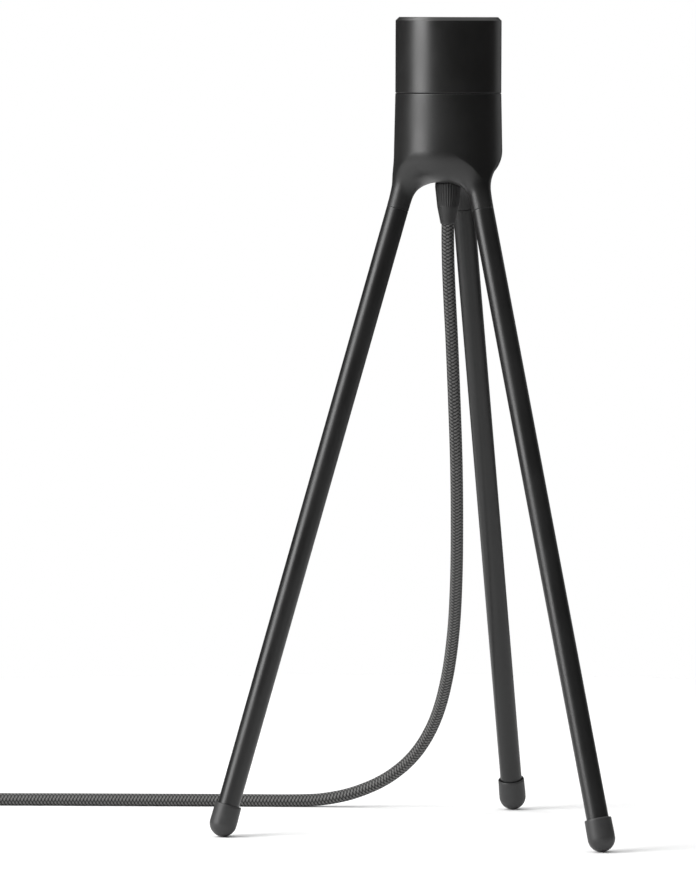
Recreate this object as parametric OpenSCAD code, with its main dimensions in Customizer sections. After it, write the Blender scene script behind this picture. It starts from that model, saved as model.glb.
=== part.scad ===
// Tripod base of a table lamp, with its lampholder, shade collar, mains cord, in-line switch and plug.
// Millimetres. +Z is up. The origin is on the floor, straight below the hub's axis.

/* [Legs] */
// Length of a leg, from its joint with the hub to the centre of its foot's dome
leg_len = 288.2; // [280:1:420]
// Lean of each leg from the vertical, in degrees
leg_lean = 16; // [8:0.5:22]
// Outside diameter of the leg tube
leg_d = 10; // [9:0.5:14]
// Wall of the leg tube
leg_wall = 1; // [0.8:0.1:1.6]
// Direction of the first leg, in degrees from +X
leg_turn = 72.3; // [0:0.1:120]
// How far inside the hub's widest radius each leg's axis lies, at the joint
joint_inset = 1.25; // [0.5:0.05:2.5]
// Height of the joint below the hub's underside
joint_drop = 12; // [9:0.5:18]

/* [Leg joint] */
// Thread diameter of the stud that joins a leg to the hub
stud_d = 6; // [4:1:6]
// Length of stud in the hub, and the same length in the leg
stud_half = 14; // [8:1:16]
// Length of the threaded plug pressed into the top of the tube
insert_len = 18; // [15:1:30]

/* [Feet] */
// Wall of a foot cap round the tube
foot_wall = 1.2; // [0.8:0.1:3]
// How much larger the radius of the dome under a foot is than the cap's
foot_bulge = 1.8; // [0.6:0.1:5]
// Height of the foot cap's rim above the dome's centre, along the leg
foot_rim = 6.9; // [4:0.1:20]

/* [Hub] */
// Wall of the hub at its rim
hub_wall = 3; // [2.8:0.1:6]
// How much further out the hub's wall is where it meets the rounded bottom
hub_flare = 0.55; // [0:0.05:1.5]
// Height of the hub, from its underside to its rim
hub_h = 40.4; // [36:0.5:60]
// Radius of the rounded edge round the hub's underside
hub_round = 14.5; // [8:0.5:16]
// Room between the lampholder and the hub's bore
holder_room = 1.6; // [1:0.1:4]
// Thickness of the hub's floor
hub_floor = 6; // [4:0.5:7]
// Radius of the hub's inside corner
hub_inner_round = 9; // [4:0.5:9]
// Chamfer on the outer edges of the seam between hub and collar
seam_chamfer = 0.5; // [0.2:0.1:0.8]

/* [Collar] */
// Height of the collar
collar_h = 34.3; // [30:0.1:44]
// Wall of the collar
collar_wall = 2.35; // [1.5:0.05:2.6]
// Chamfer round the collar's top
collar_chamfer = 1.6; // [0.6:0.1:2]
// Thickness of the lip at the collar's top
lip_t = 2.4; // [2:0.1:4]
// Room between the lampholder and the edge of the collar's lip
lip_room = 0.8; // [0.5:0.1:1.2]
// Height of the threaded ring held in the collar
ring_h = 12; // [8:0.5:14]

/* [Lampholder] */
// Wall of the lampholder's threaded skirt
skirt_wall = 3; // [2.6:0.1:4]
// Room between the screw shell and the skirt's wall
shell_room = 2.85; // [2:0.05:4]
// Height of the dome, from the bottom of its neck to its top
dome_h = 24; // [22:0.5:28]
// How far the skirt's rim lies below the collar's top
rim_drop = 4.1; // [3:0.1:8]
// Inside diameter of the bulb's screw shell
shell_d = 26.5; // [26.4:0.05:26.9]
// Thickness of the screw shell's metal
shell_t = 0.4; // [0.3:0.05:0.5]
// Height of the contact block, up to the floor of its well
core_h = 15.9; // [14:0.1:18]
// Depth of the well round the middle contact
well_h = 5; // [4.5:0.1:7]

/* [Cord grip] */
// Wall of the threaded neck that passes through the hub
neck_wall = 1.85; // [1.4:0.05:2.5]
// Wall of the ribbed cap at its tip, round the cord
grip_tip_wall = 0.4; // [0.3:0.05:1]
// How much wider the cap's radius is at its top than at its tip
grip_flare = 2.6; // [2.4:0.1:4]
// Length of the ribbed grip cap
grip_len = 18.8; // [14:0.1:28]
// Number of ribs round the grip cap
grip_ribs = 24; // [12:2:36]

/* [Cord] */
// Outside diameter of the textile cord
cord_d = 5.8; // [5.4:0.1:6.2]
// Radius of the coil's outer turns, at the cord's centre
coil_r = 36.5; // [34:0.1:38]

/* [Switch] */
// Length of the in-line switch
switch_len = 76; // [64:1:80]
// Width of the in-line switch
switch_w = 27; // [24:1:30]
// Height of the in-line switch
switch_h = 17; // [15:0.5:20]
// Wall of the switch's two shells
switch_wall = 1.8; // [1.4:0.1:2.4]
// Length of the rocker
rocker_len = 17; // [14:0.5:19]
// Width of the rocker
rocker_w = 9.8; // [8:0.1:11]
// Travel of the rocker, in degrees
rocker_travel = 14; // [8:1:18]

/* [Plug] */
// Length of the plug's body
plug_len = 26; // [22:1:34]
// Width of the plug's body
plug_w = 35; // [33:0.5:36]
// Thickness of the plug's body
plug_h = 13.6; // [13:0.1:15]
// Diameter of each pin
pin_d = 4; // [3.8:0.1:4.2]
// Length of each pin
pin_len = 19; // [18.5:0.1:19.5]
// Distance between the pins' axes
pin_gap = 18.6; // [18:0.1:19]
// Length of the tapered strain relief behind the plug
relief_len = 24; // [20:1:40]

/* [Hidden] */

$fn = 96;
fine = 0.01;
seat_gap = 0.2;     // between flat faces that meet but don't press on each other
running = 0.05;     // radial clearance of a thread or a running fit
press = 0.02;       // radial clearance of a pressed fit, round its plain part
seam_gap = 0.3;     // between the hub's rim and the collar when it is screwed down
black = "#1c1c1c";
dark = "#262626";
metal = "silver";

// Radii of the cord and of what holds it
cord_r = cord_d / 2;
neck_bore_r = cord_r + 0.2;
neck_r = neck_bore_r + neck_wall;
grip_tip_r = cord_r + grip_tip_wall;
grip_r = grip_tip_r + grip_flare;
jaw_r = grip_tip_r + 0.9;
jaw_up = 7;             // of the jaws' tips above the cap's
nut_r = neck_r + 3.05;
washer_r = nut_r + 0.5;

// Radii of the lampholder, the hub and the collar, from the bulb's thread outwards
shell_r = shell_d / 2;
core_fit = 0.1;
well_step = 1;          // of the block's rim inside the screw shell that stands on it
skirt_inner_r = shell_r + shell_t + shell_room;
skirt_r = skirt_inner_r + skirt_wall;
core_r = skirt_inner_r - core_fit;
dome_joint_r = skirt_r - 1.9;
bore_r = skirt_r + holder_room;
rim_r = bore_r + hub_wall;
hub_r = rim_r + hub_flare;
sleeve_r = rim_r - collar_wall;

// Radii of the legs and the feet, and where a leg's axis starts
leg_r = leg_d / 2;
tube_r = leg_r - leg_wall;
stud_r = stud_d / 2;
foot_r = leg_r + foot_wall;
foot_dome_r = foot_r + foot_bulge;
dome_edge = sqrt(pow(foot_dome_r, 2) - pow(foot_r, 2));
tube_foot = -3;         // of the tube's lower end, from the dome's centre
joint_r = hub_r - joint_inset;

// Heights, stacked up from the floor
joint_z = foot_dome_r + leg_len * cos(leg_lean);
hub_z = joint_z + joint_drop;
floor_z = hub_z + hub_floor;
seat_z = hub_z + hub_h;
collar_z = seat_z + seam_gap;
collar_top = collar_z + collar_h;
washer_t = 0.8;
nut_t = 4;
nut_z = floor_z + washer_t;
dome_z = nut_z + nut_t + seat_gap;
shoulder_h = 6;
shoulder_z = dome_z + dome_h - shoulder_h;
core_z = dome_z + 13;
core_top = core_z + core_h;
shell_z = core_top + well_h;
skirt_lip = 2.4;        // thickness of the skirt's lip, over the shell
skirt_top = collar_top - rim_drop;
skirt_h = skirt_top - shoulder_z;
shell_top = skirt_top - skirt_lip - 1.1;
ring_top = collar_top - lip_t - seat_gap;
grip_z = hub_z - grip_len - seat_gap;
jaw_z = grip_z + jaw_up;
neck_top = dome_z + 7.5;
cord_end_top = neck_top - 1;

// The bulb's middle contact
contact_lift = 2.3;     // of the contact strip above the block
contact_stem_r = 1.2;

// Terminal blocks, one each side of the cord
terminal = [4.6, 5, 8];
terminal_x = 9.2;
terminal_z = core_z + 1.2;
terminal_hole_r = 1.25;
terminal_screw_r = 1.5;
terminal_screw_z = terminal_z + terminal[2] / 2;

// The coil
coil_lift = 1;
coil_inner_r = coil_r - cord_d;
coil_at = [-316, 50];
coil_h = 3 * cord_d;    // two turns side by side, three deep

// The switch and the plug, where the cord holds them
switch_at = [-274, 106.5, 0];
switch_split = 8;       // height of the seam between its shells, and of the cord in it
entry_r = cord_r + 1.7;
clamp_x = 27;           // of the clamps and their rests, from the switch's middle
screw_spots = [for (side = [-1, 1]) side * [rocker_len / 2 + 7, switch_w / 2 - 4.9]];
switch_screw_r = 1.2;
pivot_r = 1.2;
pivot_z = switch_h - 3.2;
plug_at = [-346.7, -30, 7];
pin_r = pin_d / 2;
pin_root = 8;           // length of a pin in the plug's body
sleeve_len = 10;
sleeve_t = 0.5;

// Route of the cord from the grip to the switch, then to the coil, and from the coil to the plug
run_route = [
    [0, 0, grip_z], [0, 0, 270], [0.3, 0.1, 258], [1, 0.8, 243], [2, 3, 225], [3.2, 8, 198], [4.3, 17, 168],
    [4.7, 29, 140], [4.5, 44, 112], [3.2, 60, 86], [0, 75, 62], [-5.5, 88, 42], [-14.5, 96.5, 26],
    [-27, 102, 14.5], [-42, 105, 7.2], [-57, 106, 3.7], [-72, 106.3, 2.9], [-100, 106.5, 2.9],
    [-140, 106.5, 2.9], [-180, 106.5, 2.9], [-212, 106.5, 2.9], [-220, 106.5, 4],
    [-229, 106.5, 6.9], [-236, 106.5, 8], [-251, 106.5, 8]
];
lead_route = [
    [-297, 106.5, 8], [-311, 106.5, 8], [-320, 106.5, 7.2], [-331, 105, 5.6], [-341, 99, 4.3],
    [-349, 89, 3.9], [-352.5, 78, 3.9], [-352.5, 70, 3.9]
];
tail_route = [
    [-346.7, 40, 20.4], [-346.7, 31, 21.3], [-346.7, 20, 20.4], [-346.7, 8, 17], [-346.7, -4, 12.4],
    [-346.7, -14, 8.4], [-346.7, -23, 7], [-346.7, -30, 7]
];

// A smooth curve through points: piece i, at share t of the way to the next point
function clamped(list, i) = list[max(0, min(len(list) - 1, i))];
function between(p, i, t) =
    let (a = clamped(p, i - 1), b = clamped(p, i), c = clamped(p, i + 1), d = clamped(p, i + 2))
    0.5 * (2 * b + (c - a) * t + (2 * a - 5 * b + 4 * c - d) * t * t
        + (3 * b - a - 3 * c + d) * t * t * t);
// The curve's points, no further apart than about step
function smooth(p, step) = concat(
    [for (i = [0 : len(p) - 2])
        let (n = max(1, round(norm(p[i + 1] - p[i]) / step)))
        for (k = [0 : n - 1]) between(p, i, k / n)],
    [p[len(p) - 1]]
);
function unit(v) = v / norm(v);
function along(p, i) = unit(clamped(p, i + 1) - clamped(p, i - 1));
// A side direction at each point, carried along the curve so that the tube doesn't twist
function sides(p, i, side) =
    let (t = along(p, i), s = unit(side - (side * t) * t))
    i >= len(p) - 1 ? [s] : concat([s], sides(p, i + 1, s));

// A round tube swept along points, as one closed solid
module swept(points, r, n = 10, side = [0, 1, 0]) {
    ways = sides(points, 0, side);
    last = len(points) - 1;
    rings = [for (i = [0 : last])
        let (t = along(points, i), u = ways[i], v = cross(t, u))
        for (k = [0 : n - 1]) points[i] + r * (cos(360 * k / n) * u + sin(360 * k / n) * v)];
    walls = [for (i = [0 : last - 1])
        for (k = [0 : n - 1])
            let (m = (k + 1) % n)
            for (f = [[i * n + k, i * n + m, (i + 1) * n + k],
                      [i * n + m, (i + 1) * n + m, (i + 1) * n + k]]) [f[2], f[1], f[0]]];
    ends = [[for (k = [0 : n - 1]) k], [for (k = [n - 1 : -1 : 0]) last * n + k]];
    polyhedron(rings, concat(walls, ends));
}

// A round bar between two radii, from one height to another
module ring(r_out, r_in, z0, z1) {
    difference() {
        translate([0, 0, z0]) cylinder(h = z1 - z0, r = r_out);
        translate([0, 0, z0 - 1]) cylinder(h = z1 - z0 + 2, r = r_in);
    }
}

// A block centred on X and Y, standing on z0
module block(size, z0) {
    translate([-size[0] / 2, -size[1] / 2, z0]) cube(size);
}

// Points of an arc about c, from angle a to angle b
function arc(c, r, a, b, n = 10) = [for (k = [0 : n]) c + r * [cos(a + (b - a) * k / n),
                                                              sin(a + (b - a) * k / n)]];

// Puts its children in leg n's own frame: Z runs up the leg, from the dome's centre
module on_leg(n) {
    rotate([0, 0, leg_turn + 120 * n])
        translate([joint_r + leg_len * sin(leg_lean), 0, foot_dome_r])
            rotate([0, -leg_lean, 0]) children();
}

// ---- Hub ----

// The cast body: a cup with three arms that end in short stubs
module hub() {
    out_c = [hub_r - hub_round, hub_round];
    in_c = [bore_r - hub_inner_round, hub_floor + hub_inner_round];
    arm_r = leg_r + 3;
    arm_up = 16;
    stub_h = 3;
    color(black) difference() {
        union() {
            translate([0, 0, hub_z]) rotate_extrude()
                polygon(concat([[0, 0]], arc(out_c, hub_round, -90, 0),
                    [[rim_r, hub_h - seam_chamfer], [rim_r - seam_chamfer, hub_h],
                     [0, hub_h]]));
            for (n = [0 : 2]) on_leg(n) {
                translate([0, 0, leg_len]) cylinder(h = arm_up, r = leg_r);
                hull() {
                    translate([0, 0, leg_len + stub_h]) cylinder(h = fine, r = leg_r - fine, $fn = 32);
                    translate([leg_r - arm_r, 0, leg_len + arm_up])
                        cylinder(h = fine, r = arm_r, $fn = 32);
                }
            }
        }
        translate([0, 0, hub_z]) rotate_extrude()
            polygon(concat([[0, hub_floor]], arc(in_c, hub_inner_round, -90, 0),
                [[bore_r, hub_h + 1], [0, hub_h + 1]]));
        translate([0, 0, hub_z - 1]) cylinder(h = hub_floor + 2, r = neck_r + running);
        for (n = [0 : 2]) on_leg(n)
            translate([0, 0, leg_len - 1]) cylinder(h = stud_half + 1.5, r = stud_r + running);
    }
}

// Toothed washer under the nut
module hub_washer() {
    color(metal) ring(washer_r, neck_r + running, floor_z, floor_z + washer_t);
}

// Hexagon nut that holds the grip's neck in the hub
module hub_nut() {
    color("goldenrod") difference() {
        translate([0, 0, nut_z]) cylinder(h = nut_t, r = nut_r, $fn = 6);
        translate([0, 0, nut_z - 1]) cylinder(h = nut_t + 2, r = neck_r + running);
    }
}

// Threaded bush with jaws round the cord; its neck passes up through the hub
module grip_body() {
    shoulder = hub_z - seat_gap;
    slit = [2 * jaw_r + 1, 0.8, 5];
    color(dark) difference() {
        union() {
            translate([0, 0, jaw_z]) cylinder(h = shoulder - jaw_z, r = jaw_r);
            translate([0, 0, shoulder]) cylinder(h = neck_top - shoulder, r = neck_r);
        }
        translate([0, 0, jaw_z - 1]) cylinder(h = neck_top - jaw_z + 2, r = neck_bore_r);
        for (a = [0, 90]) rotate([0, 0, a]) block(slit, jaw_z - 1);
    }
}

// Ribbed tapering cap that closes the jaws on the cord
module grip_cap() {
    rib_share = 0.58;
    rib_r = 0.4;
    cone_r = grip_tip_r + 0.62 * grip_flare;
    color(dark) difference() {
        translate([0, 0, grip_z]) rotate_extrude()
            polygon([[0, 0], [grip_tip_r, 0], [cone_r, (1 - rib_share) * grip_len],
                [grip_r, grip_len - 2], [grip_r, grip_len], [0, grip_len]]);
        translate([0, 0, grip_z - 1]) cylinder(h = grip_len + 2, r = cord_r + 0.1);
        translate([0, 0, jaw_z - seat_gap]) cylinder(h = grip_len, r = jaw_r + running);
        for (k = [0 : grip_ribs - 1]) rotate([0, 0, 360 * k / grip_ribs])
            translate([grip_r + 0.1, 0, grip_z + (1 - rib_share) * grip_len])
                cylinder(h = rib_share * grip_len + 1, r = rib_r, $fn = 16);
    }
}

// ---- Collar ----

// The sleeve that screws down over the lampholder and clamps a shade on the hub's rim
module collar() {
    r = rim_r;
    lip_r = skirt_r + lip_room;
    lip_chamfer = 0.4;
    color(black) translate([0, 0, collar_z]) rotate_extrude()
        polygon([[sleeve_r, 0], [r - seam_chamfer, 0], [r, seam_chamfer],
            [r, collar_h - collar_chamfer], [r - collar_chamfer, collar_h],
            [lip_r + lip_chamfer, collar_h], [lip_r, collar_h - lip_chamfer],
            [lip_r, collar_h - lip_t],
            [sleeve_r, collar_h - lip_t]]);
}

// The threaded ring inside the collar, which runs on the lampholder's thread
module collar_ring() {
    color(dark) ring(sleeve_r - running, skirt_r + running, ring_top - ring_h, ring_top);
}

// ---- Lampholder ----

// Lower half: a neck that screws on the grip's neck, and a dome over the terminals
module lampholder_dome() {
    edge = dome_h - shoulder_h;
    seat = core_z - dome_z;
    bush_r = neck_r + running;
    joint_r = dome_joint_r - running;
    color(black) translate([0, 0, dome_z]) rotate_extrude()
        polygon([[bush_r, 0], [nut_r, 0], [nut_r, 5], [skirt_r - 7, 7.5], [skirt_r - 2.9, 11],
            [skirt_r - 0.9, 14.5], [skirt_r, edge - 1], [skirt_r, edge], [joint_r, edge],
            [joint_r, dome_h], [skirt_inner_r, dome_h], [skirt_inner_r, seat],
            [skirt_inner_r - 2, seat], [skirt_inner_r - 3.5, seat - 2],
            [skirt_inner_r - 7.5, seat - 4.6], [bush_r, seat - 5.4]]);
}

// Upper half: the threaded skirt round the screw shell
module lampholder_skirt() {
    joint_h = shoulder_h + seat_gap;
    mouth = shell_r + 0.75;
    rim = 0.6;
    color(black) translate([0, 0, shoulder_z]) rotate_extrude()
        polygon([[dome_joint_r, 0], [skirt_r, 0], [skirt_r, skirt_h - rim], [skirt_r - rim, skirt_h],
            [mouth + rim, skirt_h], [mouth, skirt_h - rim], [mouth, skirt_h - skirt_lip],
            [skirt_inner_r, skirt_h - skirt_lip], [skirt_inner_r, joint_h], [dome_joint_r, joint_h]]);
}

// Contact block of hard plastic, with pockets for the terminals and a well that the shell stands on
module lampholder_core() {
    color("#3a3632") difference() {
        translate([0, 0, core_z]) cylinder(h = core_h + well_h, r = core_r);
        translate([0, 0, core_top]) cylinder(h = well_h + 1, r = shell_r - well_step);
        for (side = [-1, 1]) translate([side * terminal_x, 0, 0]) {
            block([terminal[0] + 0.2, terminal[1] + 0.2, terminal[2] + 1.4], core_z - 0.1);
            translate([0, 0, terminal_screw_z]) rotate([90, 0, 0]) cylinder(h = core_r + 1, r = 1.9);
        }
        translate([0, 0, core_top - 8]) cylinder(h = 9, r = contact_stem_r + running);
    }
}

// Thread shell that the bulb screws into
module screw_shell() {
    color(metal) ring(shell_r + shell_t, shell_r, shell_z, shell_top);
}

// Sprung middle contact: a button on a strip, with a stem in the block
module centre_contact() {
    base = core_top + contact_lift;
    color("goldenrod") union() {
        block([14, 5, 0.6], base);
        translate([0, 0, base + 0.6 - fine]) cylinder(h = 1.6, r1 = 3, r2 = 2.2);
        translate([0, 0, core_top - 6]) cylinder(h = 6 + contact_lift + fine, r = contact_stem_r);
    }
}

// The two terminal blocks
module terminals() {
    color("goldenrod") for (side = [-1, 1]) translate([side * terminal_x, 0, 0]) difference() {
        block(terminal, terminal_z);
        translate([0, 0, terminal_z - 1]) cylinder(h = 7, r = terminal_hole_r);
        translate([0, 1, terminal_screw_z]) rotate([90, 0, 0]) cylinder(h = 8, r = terminal_screw_r);
    }
}

// Their clamping screws
module terminal_screws() {
    slot = [6, 0.6, 2];
    color(metal) for (side = [-1, 1])
        translate([side * terminal_x, -1, terminal_screw_z]) rotate([90, 0, 0]) difference() {
            union() {
                cylinder(h = 5, r = terminal_screw_r - running);
                translate([0, 0, 2]) cylinder(h = 3, r = terminal_screw_r + 0.3);
            }
            block(slot, 4.2);
        }
}

// The end of the cord's sheath, inside the grip's neck
module cord_end() {
    color(dark) translate([0, 0, grip_z]) cylinder(h = cord_end_top - grip_z, r = cord_r);
}

// One conductor, from the sheath's end to its terminal
module conductor(side) {
    wire_r = 1;
    swept(smooth([[side * 1.3, 0, cord_end_top], [side * 1.3, 0, cord_end_top + 1.5],
        [side * 6, 0, core_z - 3.6], [side * terminal_x, 0, core_z - 1],
        [side * terminal_x, 0, terminal_z + 3]], 2.5), wire_r, 8);
}

module wire_live() {
    color("saddlebrown") conductor(1);
}

module wire_neutral() {
    color("royalblue") conductor(-1);
}

// ---- Legs, in the order back, left, right ----

module leg_tube(n) {
    color(black) on_leg(n) ring(leg_r, tube_r, tube_foot, leg_len - seat_gap);
}

// Threaded plug pressed into the top of the tube
module leg_insert(n) {
    color(metal) on_leg(n)
        ring(tube_r - press, stud_r + running, leg_len - insert_len, leg_len - seat_gap);
}

// Stud, half in the leg and half in the hub
module leg_stud(n) {
    color(metal) on_leg(n)
        translate([0, 0, leg_len - stud_half]) cylinder(h = 2 * stud_half, r = stud_r);
}

// Foot cap with a domed end and an open rim
module foot(n) {
    base_angle = acos(foot_r / foot_dome_r);
    rim = 0.5;
    socket_r = leg_r + press;
    color(dark) on_leg(n) difference() {
        rotate_extrude() polygon(concat(
            arc([0, 0], foot_dome_r, -90, -base_angle, 8),
            [[foot_r, -dome_edge + 2], [foot_r - 0.15, foot_rim - rim], [foot_r - rim, foot_rim],
             [0, foot_rim]]));
        translate([0, 0, tube_foot]) cylinder(h = foot_rim - tube_foot + 1, r = socket_r);
        translate([0, 0, foot_rim - 1.4]) cylinder(h = 3, r = socket_r + 0.43);
    }
}

// ---- Cord ----

module cord_run() {
    color(dark) swept(smooth(run_route, 13), cord_r);
}

module cord_lead() {
    color(dark) swept(smooth(lead_route, 12), cord_r);
}

// The coiled length, as the outer shape of its turns
module cord_coil() {
    round = 1.5;
    inner = coil_inner_r - cord_r;
    outer = coil_r + cord_r;
    color(dark) translate([coil_at[0], coil_at[1], coil_lift]) rotate_extrude()
        polygon([[inner, round], [inner + round, 0], [outer - round, 0], [outer, round],
            [outer, coil_h - round], [outer - round, coil_h], [inner + round, coil_h],
            [inner, coil_h - round]]);
}

module cord_tail() {
    color(dark) swept(smooth(tail_route, 12), cord_r);
}

// Strap tied round the turns
module coil_tie() {
    wide = 2 * cord_d + 1;
    thick = 0.8;
    width = 8;
    slack = 0.1;
    color(dark) translate([coil_at[0] + coil_r - cord_r, coil_at[1], coil_lift]) rotate([90, 0, 0])
        translate([0, 0, -width / 2]) linear_extrude(width) difference() {
            translate([-wide / 2 - thick, -thick - slack])
                square([wide + 2 * thick, coil_h + 2 * (thick + slack)]);
            translate([-wide / 2, -slack]) square([wide, coil_h + 2 * slack]);
        }
}

// ---- In-line switch: its own frame has X along the cord, zero at its middle ----

module at_switch() {
    translate(switch_at) children();
}

// Outline of the switch, drawn in by an inset
module switch_outline(inset = 0) {
    x = switch_len / 2 - inset;
    y = switch_w / 2 - inset;
    tip = entry_r + 1 - inset;
    polygon([[-x, -tip], [-x + 15, -y + 1], [-x + 19, -y], [x - 19, -y], [x - 15, -y + 1], [x, -tip],
        [x, tip], [x - 15, y - 1], [x - 19, y], [-x + 19, y], [-x + 15, y - 1], [-x, tip]]);
}

// The cord's ways in through the shells' two ends
module cord_ways() {
    for (side = [-1, 1]) translate([side * switch_len / 2, 0, switch_split])
        rotate([0, -90 * side, 0]) translate([0, 0, -1]) cylinder(h = 15, r = cord_r + 0.15);
}

// One shell without its fittings, between two heights; its floor or roof is switch_wall thick
module switch_shell(low, high, open_low, open_high) {
    difference() {
        translate([0, 0, low]) linear_extrude(high - low) switch_outline();
        translate([0, 0, open_low]) linear_extrude(open_high - open_low) switch_outline(switch_wall);
    }
}

// Lower shell
module switch_base() {
    pillar_h = switch_split - 1 - seat_gap;
    rest = [4, 10, switch_split - cord_r - 0.15];
    color(black) at_switch() difference() {
        union() {
            switch_shell(0, switch_split, switch_wall, switch_split + 1);
            for (s = screw_spots) translate([s[0], s[1], 1]) cylinder(h = pillar_h, r = 3);
            for (side = [-1, 1]) translate([side * clamp_x, 0, 0]) block(rest, 0.5);
        }
        for (s = screw_spots) translate([s[0], s[1], -1]) {
            cylinder(h = 20, r = switch_screw_r + 0.35);
            cylinder(h = 3.4, r = 2.9);
        }
        cord_ways();
    }
}

// Upper shell, with the rocker's opening and two ears for its pivot
module switch_cover() {
    low = switch_split + seat_gap;
    ear_y = rocker_w / 2 + 1.6;
    ear = [6, 1.8, switch_h - pivot_z + 1];
    window = [rocker_len + 1.8, rocker_w + 0.6, 10];
    color(black) at_switch() difference() {
        union() {
            switch_shell(low, switch_h, low - 1, switch_h - switch_wall);
            for (s = screw_spots) translate([s[0], s[1], low]) cylinder(h = switch_h - low - 1, r = 3);
            for (side = [-1, 1]) translate([0, side * ear_y, 0]) block(ear, pivot_z - 2.4);
        }
        for (s = screw_spots) translate([s[0], s[1], low - 1])
            cylinder(h = 6, r = switch_screw_r + running);
        block(window, switch_h - switch_wall - 0.1);
        translate([0, ear_y + 1, pivot_z]) rotate([90, 0, 0])
            cylinder(h = 2 * ear_y + 2, r = pivot_r + running);
        cord_ways();
    }
}

// Puts its children in the rocker's own frame, tipped to one end of its travel
module at_rocker() {
    at_switch() translate([0, 0, pivot_z]) rotate([0, rocker_travel / 2, 0]) children();
}

// Rocker: two faces in a shallow V, a pivot pin each side and a lug below
module switch_rocker() {
    half = rocker_len / 2;
    rise = half * tan(rocker_travel / 2);
    face_h = 3.6;
    pin_w = rocker_w + 3.6;
    color(black) at_rocker() {
        translate([0, rocker_w / 2, 0]) rotate([90, 0, 0]) linear_extrude(rocker_w)
            polygon([[-half + 0.6, -1.2], [half - 0.6, -1.2], [half, face_h + rise], [0, face_h],
                [-half, face_h + rise]]);
        translate([0, pin_w / 2, 0]) rotate([90, 0, 0]) cylinder(h = pin_w, r = pivot_r);
        block([3, 6, 3.4], -4.5);
    }
}

// Contact bridge that the rocker tips over
module switch_bridge() {
    color("goldenrod") at_rocker() block([13, 3.4, 0.6], -5.3);
}

// Fixed contacts with their terminal blocks, and the joint of the unswitched wire
module switch_contacts() {
    wide = 4.4;
    low = switch_wall + seat_gap;
    color("goldenrod") at_switch() {
        for (side = [-1, 1]) translate([side * 12.2, 0, 0]) union() {
            translate([side * 3.5, 0, 0]) block([7, wide, 4.2], low);
            block([5, wide, 0.8], low);
        }
        translate([0, 5.5 - switch_w / 2, 0]) block([16, wide, wide], low);
    }
}

// Bridge pieces that hold the cord's sheath at both ends
module switch_clamps() {
    clamp = [4, 10.4, 2.4];
    color(dark) at_switch() for (side = [-1, 1]) translate([side * clamp_x, 0, 0]) difference() {
        block(clamp, switch_split + cord_r - 0.3);
        translate([-5, 0, switch_split]) rotate([0, 90, 0]) cylinder(h = 10, r = cord_r + 0.1);
    }
}

// Two screws that join the shells, from below
module switch_screws() {
    color(metal) at_switch() for (s = screw_spots) translate([s[0], s[1], 1]) {
        translate([0, 0, 0.5]) cylinder(h = 10, r = switch_screw_r);
        cylinder(h = 1.4, r = 2.7);
    }
}

// ---- Plug: its own frame has Z along the cord, towards the pins ----

module at_plug() {
    translate(plug_at) rotate([90, 0, 0]) children();
}

// Moulded body, wide and flat, drawn in towards the cord
module plug_body() {
    w = plug_w / 2;
    h = plug_h / 2;
    bevel = 4;
    neck = 8;
    color(black) at_plug() difference() {
        intersection() {
            translate([0, h, relief_len]) rotate([90, 0, 0]) linear_extrude(plug_h)
                polygon([[-neck, 0], [neck, 0], [w - 2.5, 9], [w - 0.6, 15], [w, 20], [w, plug_len],
                    [-w, plug_len], [-w, 20], [-w + 0.6, 15], [-w + 2.5, 9]]);
            translate([0, 0, relief_len]) linear_extrude(plug_len)
                polygon([[-w, -h + bevel], [-w + bevel, -h], [w - bevel, -h], [w, -h + bevel],
                    [w, h - bevel], [w - bevel, h], [-w + bevel, h], [-w, h - bevel]]);
        }
        for (side = [-1, 1]) translate([side * pin_gap / 2, 0, relief_len + plug_len - pin_root])
            cylinder(h = pin_root + 2, r = pin_r + press);
    }
}

// Tapered strain relief in front of the plug, with four slots on each side
module plug_relief() {
    slot = [10, 20, 1.4];
    color(black) at_plug() difference() {
        cylinder(h = relief_len, r1 = cord_r + 0.9, r2 = plug_h / 2 - 0.6);
        for (side = [-1, 1], k = [0 : 3]) translate([side * (cord_r + 5.6), 0, 0])
            block(slot, relief_len * (0.175 + 0.208 * k));
    }
}

// The pins, with their roots in the body
module plug_pins() {
    tip = 1.5;
    bare = pin_root + sleeve_len;
    color(metal) at_plug() for (side = [-1, 1])
        translate([side * pin_gap / 2, 0, relief_len + plug_len - pin_root]) {
            cylinder(h = pin_root, r = pin_r);
            cylinder(h = bare, r = pin_r - sleeve_t);
            translate([0, 0, bare]) cylinder(h = pin_len - sleeve_len - tip, r = pin_r);
            translate([0, 0, pin_root + pin_len - tip]) cylinder(h = tip, r1 = pin_r, r2 = pin_r - 0.9);
        }
}

// Insulating sleeves round the first half of each pin
module plug_sleeves() {
    color(black) at_plug() for (side = [-1, 1]) translate([side * pin_gap / 2, 0, 0])
        ring(pin_r, pin_r - sleeve_t, relief_len + plug_len, relief_len + plug_len + sleeve_len);
}

hub();
hub_washer();
hub_nut();
grip_body();
grip_cap();
collar();
collar_ring();
lampholder_dome();
lampholder_skirt();
lampholder_core();
screw_shell();
centre_contact();
terminals();
terminal_screws();
cord_end();
wire_live();
wire_neutral();
leg_tube(0);  // leg_tube_back
leg_tube(1);  // leg_tube_left
leg_tube(2);  // leg_tube_right
leg_insert(0);  // leg_insert_back
leg_insert(1);  // leg_insert_left
leg_insert(2);  // leg_insert_right
leg_stud(0);  // leg_stud_back
leg_stud(1);  // leg_stud_left
leg_stud(2);  // leg_stud_right
foot(0);  // foot_back
foot(1);  // foot_left
foot(2);  // foot_right
cord_run();
cord_lead();
cord_coil();
cord_tail();
coil_tie();
switch_base();
switch_cover();
switch_rocker();
switch_bridge();
switch_contacts();
switch_clamps();
switch_screws();
plug_body();
plug_relief();
plug_pins();
plug_sleeves();
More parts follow.
